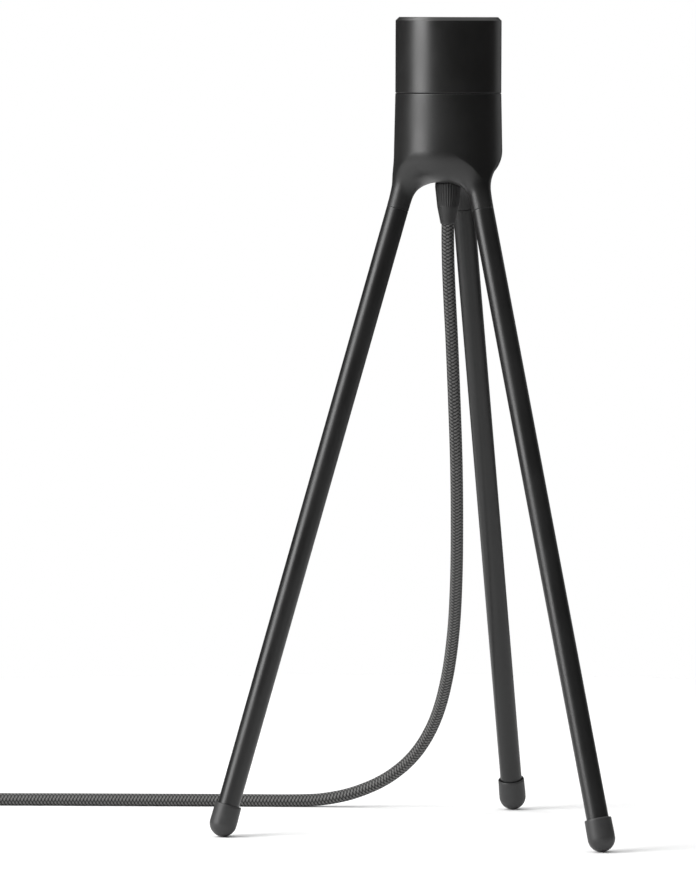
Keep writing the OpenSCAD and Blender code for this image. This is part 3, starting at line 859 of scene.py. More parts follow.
@dataclass
class Cord:
    """The braided mains cord, one tube from the grip through the switch and the coil to the plug."""

    layout: Layout
    diameter: float = 5.8
    length: float = 1800
    step: float = 2.0
    columns: int = 36
    coil_at: tuple[float, float] = (-316, 50)
    coil_r: float = 36.5
    coil_low: float = 3.9
    coil_start: float = 180
    coil_end: float = 1980
    lift_start: float = 1930
    last_lift: float = 3.4
    shift: float = 40

    run_route = [
        (0, 0, 278.036), (0, 0, 270), (0.3, 0.1, 258), (1, 0.8, 243), (2, 3, 225), (3.2, 8, 198),
        (4.3, 17, 168), (4.7, 29, 140), (4.5, 44, 112), (3.2, 60, 86), (0, 75, 62), (-5.5, 88, 42),
        (-14.5, 96.5, 26), (-27, 102, 14.5), (-42, 105, 7.2), (-57, 106, 3.7), (-72, 106.3, 2.9),
        (-100, 106.5, 2.9), (-140, 106.5, 2.9), (-180, 106.5, 2.9), (-212, 106.5, 2.9),
        (-220, 106.5, 4), (-229, 106.5, 6.9), (-236, 106.5, 8), (-251, 106.5, 8),
    ]
    lead_route = [
        (-297, 106.5, 8), (-311, 106.5, 8), (-320, 106.5, 7.2), (-331, 105, 5.6), (-341, 99, 4.3),
        (-349, 89, 3.9), (-352.5, 78, 3.9), (-352.5, 70, 3.9),
    ]
    tail_route = [
        (-346.7, 40, 20.4), (-346.7, 31, 21.3), (-346.7, 20, 20.4), (-346.7, 8, 17), (-346.7, -4, 12.4),
        (-346.7, -14, 8.4), (-346.7, -23, 7), (-346.7, -30, 7),
    ]

    @staticmethod
    def through(route: Sequence[tuple[float, float, float]]) -> np.ndarray:
        """Return a smooth curve through a route's points, a millimetre or less apart.

        Between two points b and c with neighbours a and d, the place at share t is the cubic
        (2b + (c - a)t + (2a - 5b + 4c - d)t^2 + (3b - a - 3c + d)t^3) / 2.
        """
        p = np.array(route, float)
        p = np.vstack([p[:1], p, p[-1:]])
        pieces = []
        for a, b, c, d in zip(p, p[1:], p[2:], p[3:]):
            t = np.linspace(0, 1, int(np.linalg.norm(c - b)) + 2, endpoint=False)[:, None]
            cubic = (2 * a - 5 * b + 4 * c - d) * t ** 2 + (3 * b - a - 3 * c + d) * t ** 3
            pieces.append(0.5 * (2 * b + (c - a) * t + cubic))
        return np.vstack([*pieces, p[-1:]])

    def coil(self) -> np.ndarray:
        """Return the coil's line: five turns, in two rings side by side and three deep.

        At angle f its place is centre + r(f) (cos f, sin f), height z(f). Radius and height go
        from one lay to the next by smooth steps, each under a ninth of a turn long, and the last
        turn climbs by a square law so that the cord leaves over the outer ring.
        """
        f = np.arange(self.coil_start, self.coil_end, 2.0)
        d = self.diameter
        inner = [(490, 1), (1140, -1), (1780, 1)]
        upper = [820, 1460]
        r = self.coil_r - d * sum(way * smooth_step(f, at, at + self.shift) for at, way in inner)
        z = self.coil_low + d * sum(smooth_step(f, at, at + self.shift) for at in upper)
        share = np.clip((f - self.lift_start) / (self.coil_end - self.lift_start), 0, None)
        z = z + self.last_lift * share ** 2
        a = np.radians(f)
        return np.stack([self.coil_at[0] + r * np.cos(a), self.coil_at[1] + r * np.sin(a), z], axis=1)

    def line(self) -> np.ndarray:
        """Return the cord's centres, evenly spaced, from the grip to the plug."""
        parts = [self.through(self.run_route), self.through(self.lead_route), self.coil()]
        dense = np.vstack([*parts, self.through(self.tail_route)])
        steps = np.linalg.norm(np.diff(dense, axis=0), axis=1)
        dense = dense[np.concatenate([[True], steps > 1e-6])]
        s = np.concatenate([[0], np.cumsum(np.linalg.norm(np.diff(dense, axis=0), axis=1))])
        even = np.linspace(0, s[-1], int(s[-1] / self.step) + 1)
        path = np.stack([np.interp(even, s, dense[:, k]) for k in range(3)], axis=1)
        weights = np.array([1, 2, 3, 2, 1]) / 9
        inner = np.stack([np.convolve(path[:, k], weights, "valid") for k in range(3)], axis=1)
        return np.vstack([path[:2], inner, path[-2:]])

    def build(self, finishes: Finishes) -> None:
        """Make the cord and its tie."""
        path = self.line()
        tube = swept(path, self.diameter / 2, self.columns, uv=True)
        nodes = ["cord_run", "cord_lead", "cord_coil", "cord_tail"]
        place_piece(finishes, "mains_cord", [tube], "base", "cord_textile", nodes)
        real = float(np.linalg.norm(np.diff(path, axis=0), axis=1).sum())
        log.info("cord line %.0f mm", real)
        self.build_tie(finishes)

    def declare(self) -> None:
        path = self.line()
        self.diameter * MM

    def build_tie(self, finishes: Finishes) -> None:
        """Make the strap round the coil's turns: a rounded band with its free end lapped over."""
        low, high = span("coil_tie")
        half = (high - low) / 2
        middle = (low + high) / 2
        thick = 0.9
        a = np.linspace(0, 1.15 * TURN, 110)
        share = smooth_step(a, TURN - 0.5, TURN)
        side = np.sign(np.cos(a)) * np.abs(np.cos(a)) ** 0.35
        rise = np.sign(np.sin(a)) * np.abs(np.sin(a)) ** 0.35
        grow = 1 + share * 0.05
        x = (half[0] - thick) * side * grow
        z = (half[2] - thick) * rise * grow
        line = np.stack([x + middle[0], np.full_like(x, middle[1]), z + middle[2]], axis=1)
        along = np.gradient(line, axis=0)
        along /= np.linalg.norm(along, axis=1)[:, None]
        out = np.stack([along[:, 2], np.zeros(len(a)), -along[:, 0]], axis=1)
        t = thick / 2
        section = rounded([(-t, -4, 0.3), (t, -4, 0.3), (t, 4, 0.3), (-t, 4, 0.3)])
        wide = section[None, :, 1:] * np.array([0, 1, 0])
        rings = line[:, None] + section[None, :, :1] * out[:, None] + wide
        place_piece(finishes, "strap_tie", [lofted(rings)], "base", "tie_strap", ["coil_tie"], 50)


# ---- Hub -----------------------------------------------------------------------------------------


def surface_net(field: np.ndarray, axes: Sequence[np.ndarray]) -> tuple[np.ndarray, np.ndarray, np.ndarray]:
    """Find the surface where a sampled field is zero, on a grid that wraps round its first axis.

    Each cell that the surface passes gets one point, the mean of the crossings on its twelve
    edges. Each grid edge that the surface crosses gets one quad, of its four cells' points.

    Args:
        field: samples as (first, second, third), negative inside.
        axes: the samples' places on the three axes; the first is evenly spaced round a full turn.

    Returns:
        Points in grid coordinates, quads, and each point's cell as three numbers.
    """
    f = np.concatenate([field, field[:1]], axis=0)
    first = np.append(axes[0], axes[0][0] + TURN)
    ways = [first, axes[1], axes[2]]
    cells = tuple(n - 1 for n in f.shape)
    total = np.zeros(cells + (3,))
    count = np.zeros(cells)
    for axis in range(3):
        others = [k for k in range(3) if k != axis]
        for i in (0, 1):
            for j in (0, 1):
                low = [None] * 3
                low[others[0]] = slice(i, cells[others[0]] + i)
                low[others[1]] = slice(j, cells[others[1]] + j)
                high = list(low)
                low[axis] = slice(0, cells[axis])
                high[axis] = slice(1, cells[axis] + 1)
                a, b = f[tuple(low)], f[tuple(high)]
                cross = (a < 0) != (b < 0)
                t = np.where(cross, a / np.where(cross, a - b, 1), 0)
                for k in range(3):
                    shape = [1, 1, 1]
                    shape[k] = cells[k]
                    start = ways[k][low[k]].reshape(shape)
                    place = start + (t * np.diff(ways[k]).reshape(shape) if k == axis else 0)
                    total[..., k] += np.where(cross, place, 0)
                count += cross
    used = count > 0
    number = np.full(cells, -1)
    number[used] = np.arange(used.sum())
    points = total[used] / count[used][:, None]
    quads = []
    for axis in range(3):
        others = [k for k in range(3) if k != axis]
        low = [slice(None)] * 3
        high = [slice(None)] * 3
        low[axis], high[axis] = slice(0, cells[axis]), slice(1, cells[axis] + 1)
        change = (f[tuple(low)] < 0) != (f[tuple(high)] < 0)
        rising = f[tuple(low)] < 0
        spots = np.argwhere(change)
        up = rising[change]
        corners = []
        keep = np.ones(len(spots), bool)
        for i, j in ((0, 0), (1, 0), (1, 1), (0, 1)):
            c = spots.copy()
            for k, back in ((others[0], i), (others[1], j)):
                c[:, k] -= back
                if k == 0:
                    c[:, 0] %= cells[0]
                keep &= (c[:, k] >= 0) & (c[:, k] < cells[k])
            corners.append(c)
        keep &= spots[:, 0] < cells[0]
        ids = np.stack([number[tuple(np.clip(c, 0, np.array(cells) - 1).T)] for c in corners], axis=1)
        flip = up == (axis == 1)
        ids = np.where(flip[:, None], ids[:, ::-1], ids)
        quads.append(ids[keep])
    return points, np.vstack(quads), np.argwhere(used)


@dataclass
class Hub:
    """The cast hub: a round-bottomed cup that flows into three arms, each ending in a short stub."""

    layout: Layout
    height: float = 40.4
    flare: float = 0.55
    bottom_round: float = 14.5
    wall: float = 3
    floor: float = 6
    inner_round: float = 9
    neck_hole: float = 5.0
    chamfer: float = 0.3
    blend: float = 9.0
    swell: float = 0.006
    columns: int = 384
    cell: float = 0.42
    net_low: float = -14
    net_top: float = 26
    inner_edge: float = 6.4
    stub: float = 3.5

    @property
    def outer_r(self) -> float:
        """Return the cup's radius where its wall meets the rounded bottom."""
        return self.layout.rim_r + self.flare

    def wall_r(self, z: np.ndarray | float) -> np.ndarray | float:
        """Return the cone's radius at a height above the hub's underside."""
        share = (z - self.bottom_round) / (self.height - self.bottom_round)
        return self.outer_r - self.flare * share

    def cup(self, r: np.ndarray, z: np.ndarray) -> np.ndarray:
        """Return the distance to the cup: from its rounded bottom below, from its cone above."""
        side = np.maximum(r - (self.outer_r - self.bottom_round), 0)
        low = np.where(
            side > 0, np.hypot(side, np.minimum(z - self.bottom_round, 0)), self.bottom_round - z
        ) - self.bottom_round
        return np.where(z < self.bottom_round, low, r - self.wall_r(z))

    def arm_radius(self, t: np.ndarray) -> np.ndarray:
        """Return an arm's radius at a distance up from its joint, drawn in under the stub's ring."""
        grown = self.layout.leg_r + 0.0045 * np.clip(t, 0, 23) ** 2
        return grown - 0.2 * (1 - smooth_step(t, 1.2, 2.4))

    def field(self, a: np.ndarray, r: np.ndarray, z: np.ndarray) -> np.ndarray:
        """Return the signed distance to the hub's outside, negative in the metal.

        Cup and arms join as min(p, q) - k h^2 / 4 with h = max(k - |p - q|, 0) / k, where h
        fades out towards the hub's axis. Cut away are what would stand out past the cup's own line, the
        studs' bores, and a plane across each joint.

        Args:
            a: angle about the hub's axis.
            r: radius from that axis.
            z: height above the hub's underside.
        """
        body = self.cup(r, z)
        middle = smooth_step(r, self.inner_edge + 0.8, self.inner_edge + 4)
        lean = math.radians(self.layout.leg_lean)
        cuts = np.full(np.broadcast(a, r, z).shape, -1e3)
        for leg in Leg:
            turn = a - math.radians(self.layout.leg_turn + 120 * leg.value)
            x = r * np.cos(turn) - self.layout.joint_r
            y = r * np.sin(turn)
            up = z + self.layout.joint_drop
            t = up * math.cos(lean) - x * math.sin(lean)
            across = np.hypot(x * math.cos(lean) + up * math.sin(lean), y)
            arm = np.maximum(across - self.arm_radius(t), t - 30)
            near = np.maximum(self.blend - np.abs(body - arm), 0) / self.blend * middle
            body = np.minimum(body, arm) - near ** 2 * self.blend / 4
            beside = across < 14
            cuts = np.where(beside, np.maximum(cuts, 0.25 - t), cuts)
            bore = np.maximum(across - self.layout.stud_r - 0.3, t - self.layout.stud_half - 0.5)
            cuts = np.maximum(cuts, -bore)
        below = np.minimum(z - self.bottom_round, 0)
        outermost = self.wall_r(np.maximum(z, self.bottom_round)) + self.swell * below ** 2
        return np.maximum(np.maximum(body, r - outermost), cuts)

    def skin(self) -> Solid:
        """Return the hub's closed surface: its netted outside and a turned rim, bore and floor."""
        a = np.linspace(0, TURN, self.columns, endpoint=False)
        r = np.arange(self.inner_edge, 33, self.cell)
        z = np.arange(self.net_low, self.net_top + self.cell, self.cell)
        field = self.field(a[:, None, None], r[None, :, None], z[None, None, :])
        points, quads, cells = surface_net(field, (a, r, z))
        for _ in range(4):
            points = self.pulled(points)
        top_cell = len(z) - 2
        top = cells[:, 2] == top_cell
        edge = (cells[:, 1] == 0) & (np.abs(points[:, 2]) < 1)
        points[top, 2] = z[-1]
        points[top, 1] = self.wall_r(z[-1])
        middle = a + math.pi / self.columns
        points[top, 0] = middle[cells[top, 0]]
        points[edge, 0] = middle[cells[edge, 0]]
        points[edge, 1] = r[0]
        points[edge, 2] = 0
        top_ids = np.flatnonzero(top)[np.argsort(cells[top, 0])]
        edge_ids = np.flatnonzero(edge)[np.argsort(cells[edge, 0])]
        profile = self.turned_profile(float(z[-1]))
        rings = np.stack([
            profile[:, :1] * np.cos(middle), profile[:, :1] * np.sin(middle),
            np.repeat(profile[:, 1:], self.columns, axis=1),
        ], axis=-1)
        skin = np.stack([
            points[:, 1] * np.cos(points[:, 0]), points[:, 1] * np.sin(points[:, 0]), points[:, 2]
        ], axis=-1)
        ids = np.arange(len(profile) * self.columns).reshape(len(profile), -1) + len(points)
        patch = grid_quads(np.vstack([top_ids, ids, edge_ids]), False, True)
        everything = np.vstack([skin, rings.reshape(-1, 3)]) + np.array([0, 0, self.layout.hub_z])
        return self.aligned(Solid(everything, [quads, patch]))

    def aligned(self, solid: Solid) -> Solid:
        """Turn the two groups of faces outward: the net by its field, the patch by its normals."""
        for k, group in enumerate(solid.faces):
            p = solid.points[group]
            normal = np.cross(p[:, 2] - p[:, 0], p[:, 3] - p[:, 1])
            centre = p.mean(axis=1) - np.array([0, 0, self.layout.hub_z])
            if k == 0:
                ahead = centre + 0.05 * normal / (np.linalg.norm(normal, axis=1)[:, None] + 1e-12)
                a, b = (
                    self.field(np.arctan2(q[:, 1], q[:, 0]), np.hypot(q[:, 0], q[:, 1]), q[:, 2])
                    for q in (centre, ahead)
                )
                wrong = b < a
            else:
                top = np.argmax(centre[:, 2])
                wrong = np.full(len(group), normal[top, 2] < 0)
            solid.faces[k] = np.where(wrong[:, None], group[:, ::-1], group)
        return solid

    def turned_profile(self, start: float) -> np.ndarray:
        """Return the turned part's profile, from the outer wall over the rim and in to the underside."""
        bore = self.layout.rim_r - self.wall
        rim = self.layout.rim_r
        top = self.height
        c = self.chamfer
        wall = np.linspace(start + 0.6, top - c - 0.3, 12)
        outside = np.stack([self.wall_r(wall), wall], axis=1)
        rim_points = [(rim, top - c), (rim - c * 0.3, top - c * 0.3), (rim - c, top), (bore + 0.3, top)]
        corner = arc((bore - self.inner_round, self.floor + self.inner_round), self.inner_round, 0, -90, 10)
        inside = [(bore, top - 0.3), (bore, top - 1), (bore, self.floor + self.inner_round + 1)]
        hole = [(self.neck_hole + 0.3, self.floor), (self.neck_hole, self.floor - 0.3), (self.neck_hole, 0.3)]
        below = [(self.neck_hole + 0.3, 0), (self.inner_edge - 0.5, 0)]
        return np.vstack([outside, rim_points, inside, corner, hole, below])

    def pulled(self, points: np.ndarray) -> np.ndarray:
        """Move points onto the surface by one Newton step along the field's slope."""
        h = 0.02
        a, r, z = points.T
        value = self.field(a, r, z)
        slope_a = (self.field(a + h / r, r, z) - value) / h
        slope_r = (self.field(a, r + h, z) - value) / h
        slope_z = (self.field(a, r, z + h) - value) / h
        size = np.maximum(slope_a ** 2 + slope_r ** 2 + slope_z ** 2, 0.25)
        move = np.clip(value / size, -0.3, 0.3)
        return np.stack([a - move * slope_a / r, r - move * slope_r, z - move * slope_z], axis=1)

    def stub_ring(self, leg: Leg) -> Solid:
        """Return the turned end of one arm: a ring with a crisp edge round the stud's bore."""
        top = np.linspace(0.15, self.stub, 12)
        r = self.layout.leg_r + 0.0045 * top ** 2 + 0.02 - 0.25 * smooth_step(top, 2.3, self.stub)
        bore = self.layout.stud_r + 0.05
        end = [(bore, self.stub), (bore, 0.15), (bore + 0.15, 0), (self.layout.leg_r - 0.15, 0)]
        profile = np.vstack([np.stack([r, top], axis=1), end])
        profile[:, 1] += self.layout.leg_len
        return revolved(profile, 64).placed(leg.matrix(self.layout)).outward()

    def build(self, finishes: Finishes) -> None:
        """Make the hub and let it stand for its CAD node."""
        parts = [self.skin()] + [self.stub_ring(leg) for leg in Leg]
        place_piece(finishes, "cast_hub", parts, "base", "coated_metal", ["hub"], 40)


# ---- Collar and lampholder -----------------------------------------------------------------------


@dataclass
class Collar:
    """The turned sleeve and the threaded ring pressed into it."""

    layout: Layout
    wall: float = 2.35
    chamfer: float = 1.6
    low_chamfer: float = 0.3
    seam: float = 0.2
    lip: float = 2.4
    lip_room: float = 0.8
    pitch: float = 2.5
    groove: float = 0.8

    def build(self, finishes: Finishes) -> None:
        """Make the sleeve and its ring, on the collar's two bodies."""
        lay = self.layout
        r, low, top = lay.rim_r, lay.collar_z - self.seam, lay.collar_top
        sleeve = r - self.wall
        lip_r = lay.skirt_r + self.lip_room
        outline = [
            (sleeve, low, 0.15), (r - self.low_chamfer, low, 0.1), (r, low + self.low_chamfer, 0.1),
            (r, top - self.chamfer, 0.2), (r - self.chamfer, top, 0.2), (lip_r + 0.4, top, 0.1),
            (lip_r, top - 0.4, 0.1), (lip_r, top - self.lip, 0.1), (sleeve, top - self.lip, 0.1),
        ]
        sleeve_piece = revolved(held(rounded(outline, 3), 0.3), 192)
        place_piece(finishes, "shade_collar", [sleeve_piece], "collar", "collar_metal", ["collar"], 50)
        inner = lay.skirt_r + 0.05
        z = np.arange(lay.ring_z, lay.ring_top, 0.2)
        rows = [(sleeve - 0.05, lay.ring_top), (sleeve - 0.05, lay.ring_z)] + [(inner, h) for h in z]

        def grooved(radius: np.ndarray, height: np.ndarray, a: np.ndarray) -> np.ndarray:
            """Cut the thread's groove outward into the ring's bore."""
            cut = self.groove * thread_wave(height, a, self.pitch, 0.7)
            return np.where(radius < inner + 0.01, radius + cut, radius)

        ring = revolved(np.array(rows + [(inner, lay.ring_top)]), 128, grooved)
        place_piece(
            finishes, "collar_nut_ring", [ring], "collar_travel", "black_plastic", ["collar_ring"], 60
        )


@dataclass
class Lampholder:
    """The threaded skirt, the bulb's screw shell and the sprung contact under it."""

    layout: Layout
    pitch: float = 2.5
    depth: float = 0.85
    shell_pitch: float = 3.6
    shell_depth: float = 1.1
    shell_t: float = 0.4
    skirt_wall: float = 3
    mouth_room: float = 0.75

    def skirt(self) -> Solid:
        """Return the skirt: a thread outside, a smooth bore, and a lip over the shell's edge."""
        lay = self.layout
        inner = lay.skirt_r - self.skirt_wall
        mouth = lay.shell_r - self.shell_t + self.mouth_room
        outside = [(lay.skirt_r, z) for z in np.arange(lay.skirt_z + 0.6, lay.skirt_top - 0.6, 0.22)]
        rim = [
            (lay.skirt_r - 0.6, lay.skirt_top - 0.05), (lay.skirt_r - 1.0, lay.skirt_top),
            (mouth + 0.8, lay.skirt_top), (mouth + 0.2, lay.skirt_top - 0.2), (mouth, lay.skirt_top - 0.7),
            (mouth, lay.skirt_top - 2.4), (inner, lay.skirt_top - 2.4), (inner, lay.skirt_z + 0.3),
            (inner, lay.skirt_z), (lay.skirt_r - 0.5, lay.skirt_z),
        ]

        def threaded(radius: np.ndarray, height: np.ndarray, a: np.ndarray) -> np.ndarray:
            """Cut the thread's root into the outside, fading out near both ends."""
            wave = thread_wave(height, a, self.pitch, 0.7)
            fade = smooth_step(height, lay.skirt_z + 1.5, lay.skirt_z + 3)
            cut = self.depth * (1 - wave) * fade
            return np.where(radius > lay.skirt_r - 0.01, radius - cut, radius)

        return revolved(np.array(outside + rim), 144, threaded)

    def shell(self) -> Solid:
        """Return the screw shell: thin sheet rolled into a round thread.

        Both faces are drawn in by depth * (1 - cos w) / 2, where w counts the pitch along Z less
        one turn round it.
        """
        lay = self.layout
        z = np.arange(lay.shell_z + 0.2, lay.shell_top, 0.3)
        inner = lay.shell_r - self.shell_t
        rows = [(inner, h) for h in z] + [(lay.shell_r, h) for h in z[::-1]]

        def rolled(radius: np.ndarray, height: np.ndarray, a: np.ndarray) -> np.ndarray:
            """Draw the sheet in along the thread, fading to plain rims."""
            wave = 0.5 - 0.5 * np.cos(height / self.shell_pitch * TURN - a)
            ends = smooth_step(height, lay.shell_z + 1, lay.shell_z + 3)
            ends = ends * (1 - smooth_step(height, lay.shell_top - 2.2, lay.shell_top - 0.8))
            return radius - self.shell_depth * wave * ends

        return revolved(np.array(rows), 128, rolled)

    def contact(self) -> list[Solid]:
        """Return the middle contact: an arched strip, its domed button and its stem."""
        low, high = span("centre_contact")
        strip_z = high[2] - 2.1
        half = (high[0] - low[0]) / 2
        x = np.linspace(-half, half, 40)
        drop = 0.35 * smooth_step(np.abs(x), half * 0.5, half)
        section = rounded([(-2.5, -0.3, 0.15), (2.5, -0.3, 0.15), (2.5, 0.3, 0.15), (-2.5, 0.3, 0.15)], 3)
        rings = np.zeros((len(x), len(section), 3))
        rings[..., 0] = x[:, None]
        rings[..., 1] = section[None, :, 0]
        rings[..., 2] = section[None, :, 1] + (strip_z - drop)[:, None]
        button = np.vstack([[(3.0, strip_z)], [(3.0, strip_z + 0.9)], arc((2.0, strip_z + 1.0), 1.0, 0, 90),
                            [(0.05, high[2])]])
        stem = np.array([(0.9, low[2]), (1.2, low[2] + 0.3), (1.2, strip_z), (0.2, strip_z)])
        return [lofted(rings), revolved(button, 48, closed=False), revolved(stem, 32, closed=False)]

    def build(self, finishes: Finishes) -> None:
        """Make the skirt, the shell and the contact."""
        skirt = self.skirt()
        place_piece(finishes, "threaded_skirt", [skirt], "base", "black_plastic", ["lampholder_skirt"], 60)
        place_piece(finishes, "bulb_shell", [self.shell()], "base", "nickel", ["screw_shell"], 70)
        place_piece(finishes, "contact_spring", self.contact(), "contact", "brass", ["centre_contact"], 40)


@dataclass
class Grip:
    """The cord grip's cap: fluted at the top, a smooth cone below."""

    layout: Layout
    tip_r: float = 3.3
    top_r: float = 5.9
    ribs: int = 30
    rib_share: float = 0.58
    depth: float = 0.2
    cord_r: float = 2.9

    def build(self, finishes: Finishes) -> None:
        """Make the cap as one turned loop whose upper part is fluted all round."""
        low, high = self.layout.grip_z, self.layout.grip_top
        length = high - low
        cone_top = low + (1 - self.rib_share) * length
        cone_r = self.tip_r + 0.62 * (self.top_r - self.tip_r)
        lower = np.linspace(0, 1, 12)
        upper = np.linspace(cone_top, high - 0.4, 40)[1:]
        z = np.concatenate([low + 0.25 + lower * (cone_top - low - 0.25), upper])
        r = np.interp(z, [low, cone_top, high - 2, high], [self.tip_r, cone_r, self.top_r, self.top_r])
        rim = [(self.top_r - 0.2, high - 0.1), (self.top_r - 0.5, high), (4.4, high), (4.4, high - 6)]
        tip = [(self.cord_r + 0.12, low + 6), (self.cord_r + 0.12, low + 0.1), (self.tip_r - 0.12, low)]
        profile = np.vstack([np.stack([r, z], axis=1), rim, tip])

        def fluted(radius: np.ndarray, height: np.ndarray, a: np.ndarray) -> np.ndarray:
            """Press round grooves into the upper part's outside."""
            groove = (0.5 + 0.5 * np.cos(self.ribs * a)) ** 1.5
            run = smooth_step(height, cone_top - 0.3, cone_top + 1.2)
            return np.where(radius > 4.5, radius - self.depth * groove * run, radius)

        cap = revolved(profile, self.ribs * 12, fluted)
        place_piece(finishes, "grip_cap_ribbed", [cap], "base", "grip_plastic", ["grip_cap"], 50)


# ---- Legs ----------------------------------------------------------------------------------------


@dataclass
class Legs:
    """Three straight tubes with foot caps, each screwed to its arm on a stud."""

    layout: Layout
    wall: float = 1
    tube_foot: float = -3
    foot_rim: float = 6.9
    joint_gap: float = 0.06
    pitch: float = 1
    root: float = 0.55

    def tube(self) -> Solid:
        """Return the tube, in the leg's own frame."""
        outer, inner = self.layout.leg_r, self.layout.leg_r - self.wall
        low, top = self.tube_foot, self.layout.leg_len - self.joint_gap
        outline = [(inner, low, 0.1), (outer, low, 0.1), (outer, top, 0.12), (inner, top, 0.1)]
        return revolved(held(rounded(outline, 3), 0.5), 96)

    def foot(self) -> Solid:
        """Return the foot cap: a half ball on the floor, a wall that tapers slightly, a lip and a socket."""
        lay = self.layout
        socket = lay.leg_r + 0.02
        drop = (lay.foot_dome_r - lay.foot_r) / math.cos(math.radians(lay.leg_lean))
        dome = arc((0, -drop), lay.foot_r, -89, 0, 20)
        wall = [(lay.foot_r, 0.6), (lay.foot_r - 0.12, self.foot_rim - 1.0)]
        lip = [
            (lay.foot_r - 0.14, self.foot_rim - 0.3), (lay.foot_r - 0.3, self.foot_rim - 0.05),
            (lay.foot_r - 0.45, self.foot_rim), (socket + 0.5, self.foot_rim - 0.1),
            (socket + 0.43, self.foot_rim - 0.3), (socket + 0.43, self.foot_rim - 1.4),
            (socket, self.foot_rim - 1.5), (socket, self.tube_foot), (0.2, self.tube_foot),
        ]
        return revolved(np.vstack([dome, wall, lip]), 96, closed=False)

    def stud(self) -> Solid:
        """Return the stud: a full thread between two chamfered ends."""
        half = self.layout.stud_half
        z = np.arange(-half + 0.1, half, 0.1)
        rows = np.array([(self.layout.stud_r, h) for h in z])
        ends = (np.array([[0.2, -half], [1.9, -half]]), np.array([[1.9, half], [0.2, half]]))

        def threaded(radius: np.ndarray, height: np.ndarray, a: np.ndarray) -> np.ndarray:
            """Cut the thread and slope both ends in."""
            wave = thread_wave(height, a, self.pitch, 0.85)
            slope = np.clip((np.abs(height) - half + 1.0) / 1.0, 0, 1)
            cut = np.maximum(self.root * (1 - wave), 0.9 * slope)
            return np.where(radius > 2.5, radius - cut, radius)

        stud = revolved(np.vstack([ends[0], rows, ends[1]]), 48, threaded, closed=False)
        lift = np.eye(4)
        lift[2, 3] = self.layout.leg_len
        return stud.placed(lift)

    def build(self, finishes: Finishes) -> None:
        """Make the three legs, each tube and foot on its leg's body and each stud on its own."""
        for leg in Leg:
            matrix = leg.matrix(self.layout)
            name = leg.label
            parts = (
                ("tube", self.tube(), f"leg_{name}", "leg_metal", f"leg_tube_{name}", 40),
                ("cap", self.foot(), f"leg_{name}", "foot_plastic", f"foot_{name}", 50),
                ("thread", self.stud(), f"stud_{name}", "steel", f"leg_stud_{name}", 60),
            )
            for kind, solid, body, slot, node, sharp in parts:
                place_piece(finishes, f"{kind}_{name}", [solid.placed(matrix)], body, slot, [node], sharp)


# ---- Switch and plug -----------------------------------------------------------------------------


def superellipse(a: np.ndarray, half_x: float, half_y: float, power: float) -> np.ndarray:
    """Return points of |x / half_x|^power + |y / half_y|^power = 1 at the given angles."""
    c, s = np.cos(a), np.sin(a)
    r = (np.abs(c / half_x) ** power + np.abs(s / half_y) ** power) ** (-1 / power)
    return np.stack([r * c, r * s], axis=1)


